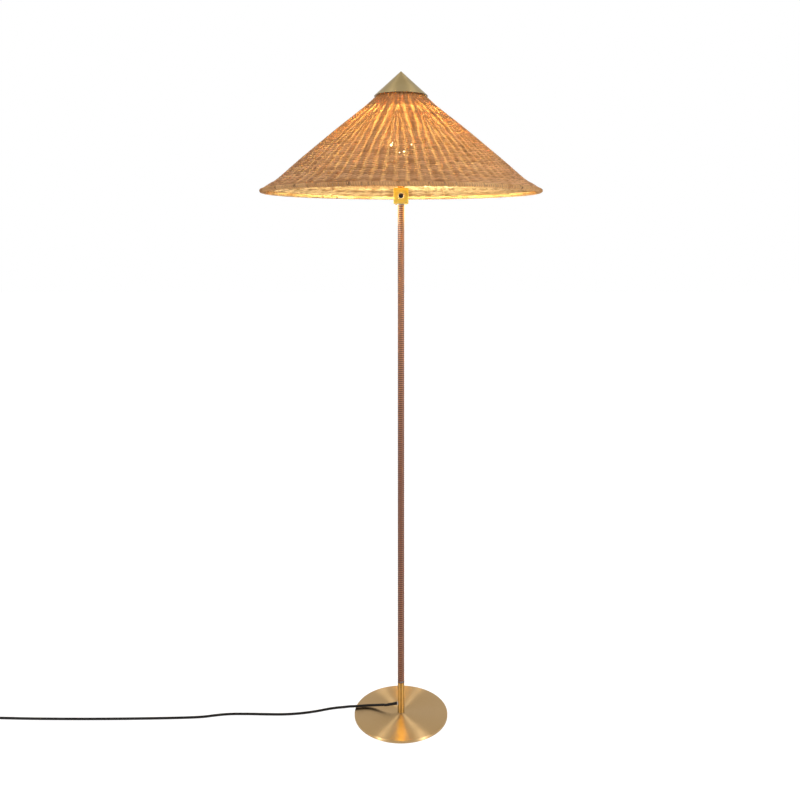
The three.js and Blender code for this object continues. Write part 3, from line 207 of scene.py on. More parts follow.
def turned(outline, steps, closed=True):
    """Spin an outline of (radius, height) or (radius, height, rounding), in mm, about the upright axis."""
    bm = bmesh.new()
    corners = [bm.verts.new((point[0] * MM, 0, point[1] * MM)) for point in outline]
    for corner, following in zip(corners, corners[1:] + corners[:1] * closed):
        bm.edges.new((corner, following))
    for corner, point in zip(corners, outline):
        if len(point) == 3:
            bmesh.ops.bevel(
                bm, geom=[corner], offset=point[2] * MM, affect="VERTICES", segments=3, profile=0.5,
                material=-1,
            )
    line = bm.verts[:] + bm.edges[:]
    bmesh.ops.spin(bm, geom=line, axis=(0, 0, 1), angle=math.tau, steps=steps, use_merge=True)
    return bm


def placed(bm, turn=None, place=(0, 0, 0)):
    """Turn a bmesh about the origin by a matrix and move it to a place in millimetres."""
    if turn is not None:
        bmesh.ops.rotate(bm, verts=bm.verts, cent=(0, 0, 0), matrix=turn)
    bmesh.ops.translate(bm, verts=bm.verts, vec=Vector(place) * MM)
    return bm


def dress(piece, body, slot, material, *nodes):
    """Give a piece its material and its body, hide the solids that it stands for, and print its slot."""
    piece.data.materials.clear()
    piece.data.materials.append(material)
    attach(piece, body)
    if nodes:
        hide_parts(*nodes)
    print(piece.name, "on the", body, "in", slot)
    return piece


def turned_piece(
    name, outline, steps, body, slot, material, *nodes, closed=True, turn=None, place=(0, 0, 0), crisp=35,
):
    """Turn a piece from its outline, put it in its place and dress it."""
    bm = placed(turned(outline, steps, closed), turn, place)
    return dress(piece_from(bm, name, crisp), body, slot, material, *nodes)


def softened_piece(name, node, edge, segments, slot, material, sharp=30):
    """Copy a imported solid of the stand, merge its flat faces, and round its sharp edges by so many mm."""
    bm = bmesh.new()
    bm.from_mesh(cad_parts[node].data)
    bmesh.ops.remove_doubles(bm, verts=bm.verts, dist=MERGE)
    bmesh.ops.dissolve_limit(bm, angle_limit=math.radians(1), verts=bm.verts, edges=bm.edges)
    edges = [e for e in bm.edges if e.is_manifold and e.calc_face_angle() > math.radians(sharp)]
    bmesh.ops.bevel(
        bm, geom=edges, offset=edge * MM, affect="EDGES", segments=segments, profile=0.5, material=-1,
        clamp_overlap=True,
    )
    return dress(piece_from(bm, name), "stand", slot, material, node)


def wires(name, lines, radius, closed=False):
    """Round wires on smooth lines through points in millimetres."""
    curve = bpy.data.curves.new(name, "CURVE")
    curve.dimensions = "3D"
    curve.bevel_depth = radius * MM
    curve.bevel_resolution = 3
    curve.use_fill_caps = not closed
    for points in lines:
        spline = curve.splines.new("BEZIER")
        spline.bezier_points.add(len(points) - 1)
        for knot, point in zip(spline.bezier_points, points):
            knot.co = Vector(point) * MM
            knot.handle_left_type = "AUTO"
            knot.handle_right_type = "AUTO"
        spline.use_cyclic_u = closed
        spline.resolution_u = WIRE_FINENESS
    return add_object(name, curve)


def refinish(material, *nodes):
    """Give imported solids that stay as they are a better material."""
    for node in nodes:
        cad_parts[node].material_slots[0].material = material


def around(count, radius, height):
    """Points of a level ring about the upright axis, in millimetres."""
    turns = [math.tau * i / count for i in range(count)]
    return [(radius * math.cos(t), radius * math.sin(t), height) for t in turns]


def box_mm(node):
    """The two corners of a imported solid's box, in millimetres."""
    return [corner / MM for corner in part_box(node)]


def eased(share):
    """A share from 0 to 1 that starts and ends gently."""
    return share * share * (3 - 2 * share)


# %% [markdown]
# ## The mains lead
# The real lead is a round cable in black plastic, 5 mm thick. It leaves the collar through a tapered strain
# relief, droops on the brass foot, steps down to the floor and runs off to the left. What the photograph
# doesn't show of its two metres is wound into a small coil with a tie, outside the view. A lead is one smooth
# curve with a round section, so its length can be measured on the curve itself.

# %% Material of the lead and its plug: extruded PVC
pvc = mottled(
    "extruded black PVC", 220.0, "#0D0A09", "#151110", relief=(0.05, 0.4), relief_scale=1800.0,
    Roughness=0.55, IOR=1.53, Specular_IOR_Level=0.12,
)

# %% The lead, from the collar to its plug
RELIEF_ROOT = Vector((-9.2545, 0, 24))
RELIEF_WAY = Vector((-0.94026, 0.19986, -0.27564))
RELIEF_LENGTH = 20
LEAD_RADIUS = 2.5
lead_exit = RELIEF_ROOT + RELIEF_WAY * RELIEF_LENGTH

LEAD_ROUTE = [
    (-38, 9, 15.2), (-50, 13.5, 12), (-63, 16.5, 9.8), (-78, 16.8, 8.9), (-99, 14.6, 8.8), (-112, 16.4, 7.2),
    (-124, 18.6, 4.6), (-137, 19.6, 2.9), (-153, 16.6, 2.6), (-186, 6.2, 2.6), (-220, -1.2, 2.6),
    (-254, -4.4, 2.6), (-289, -4.2, 2.6), (-334, -3, 2.6), (-375, -4, 2.6), (-400, -8.2, 2.6),
    (-425, -13.2, 2.6), (-458, -15.9, 2.6), (-492, -17.4, 2.6), (-560, -19.4, 2.6), (-640, -20.6, 2.6),
    (-720, -20.6, 2.6), (-800, -19.4, 2.6), (-850, -18.4, 3.1), (-887.7, -18.25, 3.9),
]

COIL_CENTRE = Vector((-898, -56))
COIL_TURNS = 6.25
COIL_PITCH = 5.6
COIL_INNER = 20.25
COIL_LOWER, COIL_UPPER = 3.9, 9.5
COIL_CLIMB_TURNS = 0.5
COIL_POINTS_PER_TURN = 16


def coil_point(turns):
    """A point on the coil: it winds inwards on the floor, climbs one layer and winds outwards again."""
    radius = COIL_INNER + COIL_PITCH * abs(turns - COIL_TURNS / 2)
    climb = min(max((turns - COIL_TURNS / 2) / COIL_CLIMB_TURNS + 0.5, 0), 1)
    height = COIL_LOWER + (COIL_UPPER - COIL_LOWER) * eased(climb)
    angle = math.radians(90 + 360 * turns)
    return (COIL_CENTRE.x + radius * math.cos(angle), COIL_CENTRE.y + radius * math.sin(angle), height)


coil_count = round(COIL_TURNS * COIL_POINTS_PER_TURN)
coil = [coil_point(COIL_TURNS * i / coil_count) for i in range(coil_count + 1)]
tail = [(-935.75, -61.3, 9.5), (-935.75, -73, 8.6), (-935.75, -80.3, 7.4), (-935.75, -88, 7.3)]
lead_start = lead_exit - RELIEF_WAY * 3
lead_points = [lead_start, lead_exit + RELIEF_WAY * 5, *LEAD_ROUTE, *coil, *tail]
lead = dress(
    wires("mains_lead", [lead_points], LEAD_RADIUS), "stand", "black_plastic", pvc,
    "lead_cord", "lead_coil", "lead_tail",
)

# %% [markdown]
# ## Strain relief, tie and plug
# The strain relief is a soft plastic sleeve with rings cut into it, so that it bends more and more easily
# towards its tip. The plug is moulded over its pins. The tie is a flat strap that closes on itself round the
# coil. The sleeves and the pins are turned here. The plug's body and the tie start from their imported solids.

# %% Strain relief at the collar
RELIEF_RINGS = 6
RING_PITCH = 2.7
RELIEF_RADIUS, RELIEF_TAPER = 3.1, 0.35
GROOVE = 0.45
relief_outline = [(0, 0), (RELIEF_RADIUS, 0, 0.3)]
for ring in range(RELIEF_RINGS):
    low = 2.4 + ring * RING_PITCH
    wide = RELIEF_RADIUS - RELIEF_TAPER * low / RELIEF_LENGTH
    relief_outline += [(wide, low, 0.15), (wide - GROOVE, low + 0.5, 0.15), (wide - GROOVE, low + 1.3, 0.15)]
    relief_outline += [(wide - 0.05, low + 1.8, 0.15)]
relief_outline += [(RELIEF_RADIUS - RELIEF_TAPER, RELIEF_LENGTH, 0.15), (0, RELIEF_LENGTH)]
turned_piece(
    "lead_relief", relief_outline, 32, "stand", "black_plastic", pvc, "lead_strain_relief", closed=False,
    turn=Vector((0, 0, 1)).rotation_difference(RELIEF_WAY).to_matrix(), place=RELIEF_ROOT,
)

# %% Plug, its strain relief and its pins
zinc = mottled(
    "zinc plated steel", 160.0, "#A9ACAE", "#C9CBCC", relief=(0.05, 0.3), relief_scale=1500.0, Metallic=1.0,
    Roughness=0.34,
)
plug = softened_piece("moulded_plug", "plug_body", 1.4, 4, "black_plastic", pvc)
towards_plug = Matrix.Rotation(math.pi / 2, 3, "X")
plug_place = (-935.75, -85.6, 7.3)
plug_relief_outline = [(0, 0), (3.0, 0, 0.3), (3.6, 3), (4.4, 20, 0.3), (4.5, 22, 0.2), (0, 22)]
plug_relief = turned_piece(
    "plug_relief", plug_relief_outline, 32, "stand", "black_plastic", pvc, "plug_strain_relief", closed=False,
    turn=towards_plug, place=plug_place,
)
pin_outline = [(0, 57.6), (2, 57.6), (2, 75.6, 0.3), (1.2, 76.6, 0.3), (0, 76.6)]
for node in ("plug_pin_1", "plug_pin_2"):
    low, high = box_mm(node)
    middle = ((low.x + high.x) / 2, *plug_place[1:])
    turned_piece(
        f"{node}_turned", pin_outline, 32, "stand", "steel", zinc, node, turn=towards_plug, place=middle,
    )
print("plug reaches y", round(low.y, 1), "mm")

# %% Tie round the coil
tie = softened_piece("coil_tie", "lead_tie", 0.2, 1, "black_plastic", pvc, 50)

# %% [markdown]
# ## The studio
# The backdrop is white and so is the floor, but the light has to stay plain. So the world is white only for
# rays that come from the camera or from a shiny or clear surface, and dimmer for the light it sheds. The
# floor does the same, and keeps a share of ordinary white paint so that the lamp's shadow still falls on it.

# %% World and floor
WORLD_LIGHT = 0.62
FLOOR_HALF_SIZE = 12
FLOOR_DROP = 0.2
FLOOR_GLOW, FLOOR_GLOW_SHARE = 1.2, 0.8


def seen_plainly(owner):
    """1 for a ray from the camera or from a shiny or clear surface, and 0 for any other."""
    ray = add_node(owner, "LightPath")
    answer = ray["Is Camera Ray"]
    for kind in ("Is Glossy Ray", "Is Transmission Ray"):
        answer = add_node(owner, "Math", {0: answer, 1: ray[kind]}, operation="MAXIMUM")["Value"]
    return answer


world = bpy.data.worlds.new("white studio")
world.use_nodes = True
bpy.context.scene.world = world
levels = {"Value": seen_plainly(world), "To Min": WORLD_LIGHT, "To Max": 1.0}
brightness = add_node(world, "MapRange", levels)["Result"]
feed(world.node_tree.nodes["Background"], {"Color": "#FFFFFF", "Strength": brightness})

floor_bm = bmesh.new()
bmesh.ops.create_grid(floor_bm, x_segments=1, y_segments=1, size=FLOOR_HALF_SIZE)
floor = piece_from(placed(floor_bm, None, (0, 0, -FLOOR_DROP)), "studio_floor")
floor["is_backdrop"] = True
paint, paint_shader = new_material("white studio paint", Roughness=0.9, Base_Color="#E4E4E4")
glow = add_node(paint, "Emission", {"Color": "#FFFFFF", "Strength": FLOOR_GLOW})["Emission"]
share = add_node(
    paint, "Math", {0: seen_plainly(paint), 1: FLOOR_GLOW_SHARE}, operation="MULTIPLY",
)["Value"]
both = add_node(paint, "MixShader", {0: share, 1: paint_shader.outputs[0], 2: glow})["Shader"]
feed(paint.node_tree.nodes["Material Output"], {"Surface": both})
floor.data.materials.append(paint)
bpy.context.scene.view_settings.view_transform = "Standard"
print("world light", WORLD_LIGHT)

# %% [markdown]
# ## The studio's lights
# A key on the left, a stronger fill on the right and a weak light overhead leave hardly any shadow. The
# photograph's exposure holds back the glare under the shade. A small light gives it back to the bark of the
# cane, and one above the foot to the brushed brass. A tall and a low strip light on each side show in
# polished metal only, as upright stripes on the collar.

# %% Lights
MIDDLE = (0, 0, 0.9)
STRIP_FRONT, STRIP_WIDTH_SHARE, STRIP_OFF_FLOOR = -0.98, 0.4, 0.01


def soft_light(name, place, aim, size, power, tall=None, colour="#FFFFFF", in_gloss=True, gloss_only=False):
    """A soft box in metres, aimed at a point. One for gloss only shows in shiny surfaces."""
    lamp = add_object(name, bpy.data.lights.new(name, "AREA"))
    lamp.data.shape = "RECTANGLE"
    lamp.data.size = size
    lamp.data.size_y = tall or size
    lamp.data.energy = power
    lamp.data.color = linear(colour)[:3]
    lamp.location = place
    lamp.rotation_euler = (Vector(aim) - Vector(place)).to_track_quat("-Z", "Y").to_euler()
    lamp.visible_camera = False
    lamp.visible_glossy = in_gloss
    lamp.visible_diffuse = not gloss_only
    print(name, power, "W")
    return lamp


soft_light("key light, left", (-2.2, -1.9, 2.3), MIDDLE, 1.4, 29)
soft_light("fill light, right", (2.4, -1.6, 1.6), MIDDLE, 1.6, 46)
soft_light("top light", (0.2, 0.6, 3.2), (0, 0, 0.8), 1.6, 8, in_gloss=False)
cane_glare = soft_light(
    "glare on the bark of the cane", (-0.09, -0.012, 1.12), (0, 0, 1.06), 0.05, 0.11, gloss_only=True,
)
cane_glare.data.spread = math.radians(60)
soft_light(
    "glare of the bulb on the foot", (0, 0.07, 1.1), (0, 0.07, 0), 0.13, 3.0, colour="#FFCC00",
    gloss_only=True,
)
for name, across, tall, power in (
    ("strip light, left", -1.26, 1.2, 4.5), ("strip light, right", 1.26, 1.2, 2.5),
    ("low strip light, left", -1.1, 0.3, 5.0), ("low strip light, right", 1.2, 0.3, 6.0),
):
    strip_place = (across, STRIP_FRONT, tall / 2 + STRIP_OFF_FLOOR)
    soft_light(name, strip_place, (0, 0, tall / 4), STRIP_WIDTH_SHARE * tall, power, tall, gloss_only=True)

# %% [markdown]
# ## Brass
# Brass is an alloy, so its colour sits in the reflection, not under it, and its finish tells one piece from
# another. The foot's cover was brushed in circles on a turntable, which spreads a highlight into fans that
# run from the middle to the edge: that is what an anisotropic shader with a tangent about the upright axis
# does. The cap has the same brushing, duller and greyer. The collar is left as the lathe turned it. The head
# is satin, brushed sideways, and painted yellower for the warm light of the lit shade on it. The bezel is
# painted almost white as a painted highlight, and the pieces inside the shade are polished and lacquered.

# %% Brass brushed in circles, for the foot and the cap
SCRATCH_DEPTH = 0.02
RADIAL = {"direction_type": "RADIAL", "axis": "Z"}


def brushed_in_circles(name, ring_mm, rough, anisotropy, first, second, *ring_tones):
    """Brass with rings of fine scratches about the upright axis, in relief, in roughness and in tone."""
    material, shader = new_material(name, Metallic=1.0, Anisotropic=anisotropy, Anisotropic_Rotation=0.25)
    place = add_node(material, "TexCoord")["Object"]
    ring_noise = {"W": axis_distance(material, place), "Scale": 1 / (ring_mm * MM), "Detail": 2.0}
    rings = add_node(material, "TexNoise", ring_noise, noise_dimensions="1D")["Fac"]
    slopes = {"Height": rings, "Distance": SCRATCH_DEPTH * MM, "Strength": 0.5}
    worn = soft_noise(material, place, 28.0, 4.0)
    drift = {"Value": worn, "To Min": rough[0], "To Max": rough[1]}
    feed(shader, {
        "Base Color": layered(material, first, (worn, second), *[(rings, tone) for tone in ring_tones]),
        "Roughness": add_node(material, "MapRange", drift)["Result"],
        "Normal": add_node(material, "Bump", slopes)["Normal"],
        "Tangent": add_node(material, "Tangent", **RADIAL)["Tangent"],
    })
    return material


# Real scratches are about 0.1 mm apart. They are drawn 0.8 and 0.9 mm apart, so that some of them show.
foot_brass = brushed_in_circles(
    "satin brass brushed in circles", 0.9, (0.37, 0.43), 1.0, "#B8996A", "#C3A476", "#B08E60",
)
cap_brass = brushed_in_circles(
    "spun brass with a dull lacquer", 0.8, (0.37, 0.47), 0.85, "#9C875A", "#A8946A",
)

# %% Polished, bright, turned and satin brass
polished = mottled(
    "polished and lacquered brass", 90.0, "#D9A552", "#E3B364", detail=4.0, rough=(0.16, 0.24),
    relief=(0.03, 0.15), relief_scale=900.0, Metallic=1.0,
)
# Painted highlight: the bezel's brass is painted almost white, for the bright highlight that the bulb puts on
# it.
highlight_pale_brass = mottled("turned brass, painted pale as a highlight", 300.0, "#FFE7A0", "#FFF0B8", Metallic=1.0, Roughness=0.16)
collar_brass = mottled(
    "brass turned on a lathe", 120.0, "#A88040", "#B28A4A", Metallic=1.0, Roughness=0.48, Anisotropic=1.0,
    Anisotropic_Rotation=0.25,
)
collar_shader = collar_brass.node_tree.nodes["Principled BSDF"]
feed(collar_shader, {"Tangent": add_node(collar_brass, "Tangent", **RADIAL)["Tangent"]})
# Painted light: the head's brass is painted yellower than the other brass, for the warm light of the lit shade
# that falls on it.
warm_lit_head_brass = mottled(
    "satin brass, cast and brushed, painted warm-lit", (60.0, 60.0, 4200.0), "#D6BA50", "#DEC25A", detail=2.0,
    rough=(0.26, 0.4), relief=(0.01, 0.15), Metallic=1.0,
)

# %% [markdown]
# ## The foot
# A steel plate gives the lamp its weight, with felt under it. A thin brass cover is spun over the plate and
# its edge is rolled down, which leaves the small bright round at the rim. The cover is turned here with that
# round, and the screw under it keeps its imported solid.

# %% Felt, steel plate and brass cover
felt = mottled(
    "pressed wool felt", 700.0, "#2E2E31", "#4A4A4D", detail=6.0, relief=(0.3, 0.6), Roughness=0.95,
    Sheen_Weight=0.5, Sheen_Roughness=0.6,
)
refinish(felt, "base_pad")
refinish(zinc, "base_weight", "foot_screw", "stem_tube", "stem_nut", "nipple_nut", "holder_thread_sleeve")
cover_outline = [
    (4.3, 6), (30, 6), (60, 6), (100, 6, 1.5), (100, 0.5, 0.3), (99.2, 0.5, 0.3), (99.2, 5.2, 0.8),
    (4.3, 5.2),
]
cover = turned_piece("foot_disc", cover_outline, 192, "stand", "satin_brass", foot_brass, "base_cover")
print("foot:", round(cover.dimensions.x / MM), "mm across")

# %% Collar, with the bushing where the lead comes out
collar_outline = [
    (4.3, 6.3), (7, 6.3, 0.35), (7, 70, 0.25), (5.8, 70, 0.2), (5.8, 36), (5.2, 36), (5.2, 17.3), (4.3, 17.3),
]
turned_piece("foot_collar", collar_outline, 96, "stand", "polished_brass", collar_brass, "foot_socket")
nylon = mottled("moulded grey nylon", 500.0, "#A09FA6", "#B4B3B9", Roughness=0.45, IOR=1.53)
bushing_outline = [
    (2.65, 5.2), (3.3, 5.2), (3.3, 7.3), (4, 7.3, 0.2), (4, 8.1, 0.35), (2.65, 8.1, 0.3),
]
turned_piece(
    "collar_bushing", bushing_outline, 48, "stand", "grey_nylon", nylon, "lead_bushing",
    turn=Matrix.Rotation(-math.pi / 2, 3, "Y"), place=(0, 0, RELIEF_ROOT.z),
)

# %% [markdown]
# ## The stem's winding
# A flat strip of cane, smoked brown, is wound tightly on the steel tube, turn against turn. Each turn is a
# little crowned, because the strip's bark side is round, so a dark line lies between two turns. A short
# upright outline of one turn, swept by the Screw modifier with the strip's width as its climb, gives the
# whole winding at once.

# %% Winding
WRAP_BOTTOM, WRAP_TOP = 70.05, 1102.1
WRAP_TURNS = 240
WRAP_STEPS = 24
strip_width = (WRAP_TOP - WRAP_BOTTOM) / (WRAP_TURNS + 1)


def wound(outline, climb, turns, steps):
    """Sweep an upright outline of (radius, height) in millimetres along a screw line, and close both ends."""
    bm = bmesh.new()
    points = [bm.verts.new((radius * MM, 0, height * MM)) for radius, height in outline]
    for point, following in zip(points, points[1:]):
        bm.edges.new((point, following))
    mesh = bpy.data.meshes.new("outline")
    bm.to_mesh(mesh)
    bm.free()
    helper = add_object("outline", mesh)
    screw = helper.modifiers.new("screw", "SCREW")
    screw.steps = steps
    screw.render_steps = steps
    screw.screw_offset = climb * MM
    screw.iterations = turns
    screw.use_merge_vertices = True
    screw.merge_threshold = MERGE
    swept = bpy.data.meshes.new_from_object(helper.evaluated_get(bpy.context.evaluated_depsgraph_get()))
    bpy.data.objects.remove(helper)
    bm = bmesh.new()
    bm.from_mesh(swept)
    bmesh.ops.remove_doubles(bm, verts=bm.verts, dist=MERGE)
    bmesh.ops.holes_fill(bm, edges=[e for e in bm.edges if e.is_boundary], sides=0)
    return bm


strip_outline = [
    (6.62, 0), (6.86, 0.07), (7.06, 0.2), (7.17, 0.35), (7.2, 0.5), (7.17, 0.65), (7.06, 0.8), (6.86, 0.93),
    (6.62, 1),
]
strip_outline = [(radius, WRAP_BOTTOM + share * strip_width) for radius, share in strip_outline]
wrap = piece_from(wound(strip_outline, strip_width, WRAP_TURNS, WRAP_STEPS), "cane_winding", 60)
print("winding:", len(wrap.data.polygons), "faces,", round(strip_width, 2), "mm a turn")

# %% Material of the winding: smoked cane peel
cane, cane_shader = new_material("smoked cane peel strip", Roughness=0.42, IOR=1.5, Specular_IOR_Level=0.4)
cane_place = add_node(cane, "TexCoord")["Object"]
cane_fibre = soft_noise(cane, cane_place, (60.0, 60.0, 1500.0), 2.0)
turn_tone = soft_noise(cane, cane_place, (20.0, 20.0, 1 / (strip_width * MM)), 0.0)
long_tone = soft_noise(cane, cane_place, 9.0, 2.0)
# Painted light: the cane is painted paler towards the top, for the glow of the lit shade that falls on the
# stem.
height_up = add_node(cane, "SeparateXYZ", {0: cane_place})["Z"]
painted_lamp_glow = add_node(
    cane, "MapRange", {"Value": height_up, "From Min": 0.5, "From Max": 1.1, "To Max": 0.85},
    interpolation_type="SMOOTHSTEP",
)["Result"]
# Painted shade: the groove between two turns is painted dark, where shade falls between the crowned turns.
groove = {"From Min": 6.9 * MM, "From Max": 7.19 * MM, "To Min": 1.0, "To Max": 0.0}
painted_groove_shade = add_node(cane, "MapRange", {"Value": axis_distance(cane, cane_place), **groove})["Result"]
slopes = {"Height": cane_fibre, "Distance": 0.08 * MM, "Strength": 0.4}
feed(cane_shader, {
    "Base Color": layered(
        cane, "#8C5032", (turn_tone, "#AA6A48"), (cane_fibre, "#985C3E"), (long_tone, "#945634"),
        (painted_lamp_glow, "#D29468"), (painted_groove_shade, "#2E170D"),
    ),
    "Normal": add_node(cane, "Bump", slopes)["Normal"],
})
dress(wrap, "stand", "cane", cane, "stem_wrap")
end_outline = [(6.3, WRAP_BOTTOM), (7.12, WRAP_BOTTOM, 0.2), (7.17, 71.3, 0.4), (6.3, 71.3)]
turned_piece("cane_end_ring", end_outline, 48, "stand", "cane", cane, "stem_wrap")

# %% [markdown]
# ## The head
# The head is a small square brass box under the shade, closed by a lid with two screws from below. Its push
# switch sits in a threaded bezel in the front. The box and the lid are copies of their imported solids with
# rounded edges. The bezel and the button are turned and laid on their side.

# %% Box, lid and screws
softened_piece("head_block", "head_box", 0.7, 3, "polished_brass", warm_lit_head_brass)
softened_piece("head_cover", "head_lid", 0.5, 2, "polished_brass", warm_lit_head_brass)
refinish(polished, "lid_screw_1", "lid_screw_2")

# %% Switch: black body, bright bezel and domed button
phenolic = mottled(
    "black moulded phenolic", 600.0, "#0E0908", "#1C110E", Roughness=0.2, IOR=1.6, Specular_IOR_Level=0.2,
)
refinish(phenolic, "switch_body", "bulb_insulator")
towards_front = Matrix.Rotation(math.pi / 2, 3, "X")
low, high = box_mm("switch_bezel")
back, front = -high.y, -low.y
bezel_outline = [
    (5.8, back), (6.75, back), (6.75, front, 0.7), (5.1, front, 0.5), (5.1, front - 1.1), (5.8, front - 1.1),
]
low, high = box_mm("switch_button")
switch_place = (0, 0, (low.z + high.z) / 2)
turned_piece(
    "switch_ring", bezel_outline, 64, "stand", "polished_brass", highlight_pale_brass, "switch_bezel",
    turn=towards_front, place=switch_place,
)
back, front = -high.y, -low.y
button_outline = [
    (0, back), (4.8, back, 0.3), (4.8, front - 1.5, 0.5), (4.1, front - 0.95), (3.2, front - 0.5),
    (2.1, front - 0.2), (1.05, front - 0.05), (0, front),
]
turned_piece(
    "push_button", button_outline, 48, "button", "black_plastic", phenolic, "switch_button", closed=False,
    turn=towards_front, place=switch_place,
)

# %% [markdown]
# ## Lampholder, bulb and harp
# These sit inside the shade, and are seen only from below. A nipple carries a spacer, the harp's saddle and
# the brass lampholder with its ceramic core. The bulb is opal glass that glows warm all over. The harp is a
# bent wire bow that goes round the bulb and holds the shade at its crown.

# %% Holder, saddle and ferrules
HELD_BRASS = ("stand", "polished_brass", polished)
refinish(polished, "holder_nipple", "holder_contact")
for name, node, steps, outline in (
    ("holder_collar", "holder_spacer", 64, [
        (5.3, 1136.5), (8, 1136.5, 0.4), (8, 1142.1, 0.4), (5.3, 1142.1),
    ]),
    ("holder_lower_cup", "holder_cup", 96, [
        (5.3, 1144.7), (10, 1144.7, 1.5), (20, 1152.2, 2.5), (20, 1159.7, 0.3), (19, 1159.7, 0.2),
        (19, 1152.7, 2), (9.5, 1145.7, 1), (5.3, 1145.7),
    ]),
    ("holder_sleeve", "holder_shell", 96, [
        (19, 1160), (20, 1160, 0.3), (20, 1163, 0.3), (19.7, 1163.4, 0.2), (19.7, 1164.4, 0.2),
        (20, 1164.8, 0.3), (20, 1195, 1.2), (14.9, 1195, 0.3), (14.9, 1194, 0.3), (19, 1194, 0.6),
    ]),
):
    turned_piece(name, outline, steps, *HELD_BRASS, node)
softened_piece("harp_base", "harp_saddle", 0.3, 2, "polished_brass", polished)
HARP_HALF_FOOT = 29
for side, across in (("left", -HARP_HALF_FOOT), ("right", HARP_HALF_FOOT)):
    low, high = box_mm(f"harp_ferrule_{side}")
    ferrule_outline = [(2.3, low.z), (3.6, low.z, 0.4), (3.6, high.z, 0.6), (2.3, high.z, 0.2)]
    turned_piece(
        f"harp_sleeve_{side}", ferrule_outline, 32, *HELD_BRASS, f"harp_ferrule_{side}", place=(across, 0, 0),
    )

# %% Ceramic core
glaze = mottled("white glazed ceramic", 120.0, "#EDE8DC", "#F4F0E7", Roughness=0.12, IOR=1.5)
refinish(glaze, "holder_core")

# %% Harp and its stud
HARP_FOOT_HEIGHT, HARP_RISE = 1152.7, 161.3
HARP_TOP = HARP_FOOT_HEIGHT + HARP_RISE
HARP_SHARES = [
    (HARP_HALF_FOOT, 0), (HARP_HALF_FOOT, 0.07), (31.5, 0.15), (42, 0.3), (47, 0.5), (43, 0.7), (26.9, 0.86),
    (17, 0.955), (9.5, 0.992),
]
harp_right = [(across, 0, HARP_FOOT_HEIGHT + HARP_RISE * up) for across, up in HARP_SHARES]
harp_left = [(-across, 0, height) for across, _, height in harp_right]
bows = [[*harp_left, (-5, 0, HARP_TOP)], [(5, 0, HARP_TOP), *reversed(harp_right)]]
dress(wires("harp_bow", bows, 2), *HELD_BRASS, "harp")
eye_outline = [(3.3, 1311.5), (6, 1311.5, 0.6), (6, 1316.5, 0.6), (3.3, 1316.5)]
turned_piece("harp_eye", eye_outline, 48, *HELD_BRASS)
stud_outline = [
    (0, 1309), (4.4, 1309, 1), (4.4, 1311.2, 0.2), (3, 1311.2), (3, 1316.8), (9, 1316.8, 0.4),
    (9, 1319.8, 0.4), (3, 1319.8), (3, 1351, 0.5), (0, 1351.8),
]
turned_piece("harp_finial", stud_outline, 48, *HELD_BRASS, "harp_stud", closed=False)

# %% Bulb glass
# Opal glass scatters the filament's light, so the whole bulb is an even, warm lamp. Glass as bright as a real
# bulb would turn each slit of the weave into a wide blot. So the glass only glows, and a round light of about
# its size, which the camera doesn't see, sheds the bulb's light.
BULB_GLOW = 2.8
BULB_POWER = 26.5
BULB_HEIGHT, BULB_RADIUS = 1234.5, 32.5
opal, opal_shader = new_material(
    "opal glass, lit", Base_Color="#FFF6E6", Roughness=0.3, IOR=1.5, Emission_Strength=BULB_GLOW,
)
opal_drift = soft_noise(opal, add_node(opal, "TexCoord")["Object"], 40.0)
feed(opal_shader, {"Emission Color": layered(opal, "#FFFAC6", (opal_drift, "#FFFCCE"))})
glass_outline = [
    (12.1, 1183.9), (12.4, 1192.3), (15.7, 1202.4), (23.9, 1215.8), (28.4, 1225.9), (30, 1234.3),
    (28.8, 1244.4), (24.6, 1253.6), (20.4, 1261.2), (10.8, 1266.2), (0, 1267.9),
]
glass_bm = turned(glass_outline, 64, closed=False)
bmesh.ops.remove_doubles(glass_bm, verts=glass_bm.verts, dist=MERGE)
bmesh.ops.recalc_face_normals(glass_bm, faces=glass_bm.faces)
bmesh.ops.solidify(glass_bm, geom=glass_bm.faces[:], thickness=1 * MM)
glass = dress(piece_from(glass_bm, "opal_bulb"), "bulb", "opal_glass", opal, "bulb_glass")
smooth_glass = glass.modifiers.new("smooth", "SUBSURF")
smooth_glass.levels = smooth_glass.render_levels = 2
bulb_light = add_object("light of the bulb", bpy.data.lights.new("light of the bulb", "POINT"))
bulb_light.location = (0, 0, BULB_HEIGHT * MM)
bulb_light.data.energy = BULB_POWER
bulb_light.data.shadow_soft_size = BULB_RADIUS * MM
bulb_light.data.use_soft_falloff = False
bulb_light.data.color = linear("#FFFBCA")[:3]
bulb_light.visible_camera = False
bulb_light.visible_glossy = False

# %% Bulb's screw cap, rolled thread
THREAD_PITCH = 3.5
THREAD_TURNS = 4
WAVE_STEPS = 8
thread_outline = []
for step in range(WAVE_STEPS + 1):
    wave = math.cos(math.tau * step / WAVE_STEPS)
    thread_outline.append((12.6 + 0.5 * wave, 1170.2 + THREAD_PITCH * step / WAVE_STEPS))
thread = piece_from(wound(thread_outline, THREAD_PITCH, THREAD_TURNS, 48), "bulb_thread")
dress(thread, "bulb", "steel", zinc, "bulb_screw_cap")
refinish(zinc, "bulb_tip")

# %% [markdown]
# ## The shade's form
# The wicker cone has one outline: a straight slope that flares a little before the rim. Everything woven is
# placed on it by how far along the slope it lies, by its angle round the lamp (0 faces the front), and by how
# far it stands off the middle of the weave. Working along the slope keeps the rows evenly spaced, as a
# weaver's hands do.

# %% Slope of the shade
SHADE_OUTLINE = [
    (296, 1133.3), (283.5, 1141.65), (264.1, 1154.2), (217.4, 1195.9), (142.3, 1260), (80.2, 1310.7),
    (46.5, 1342),
]
HALF_WALL = 2.9


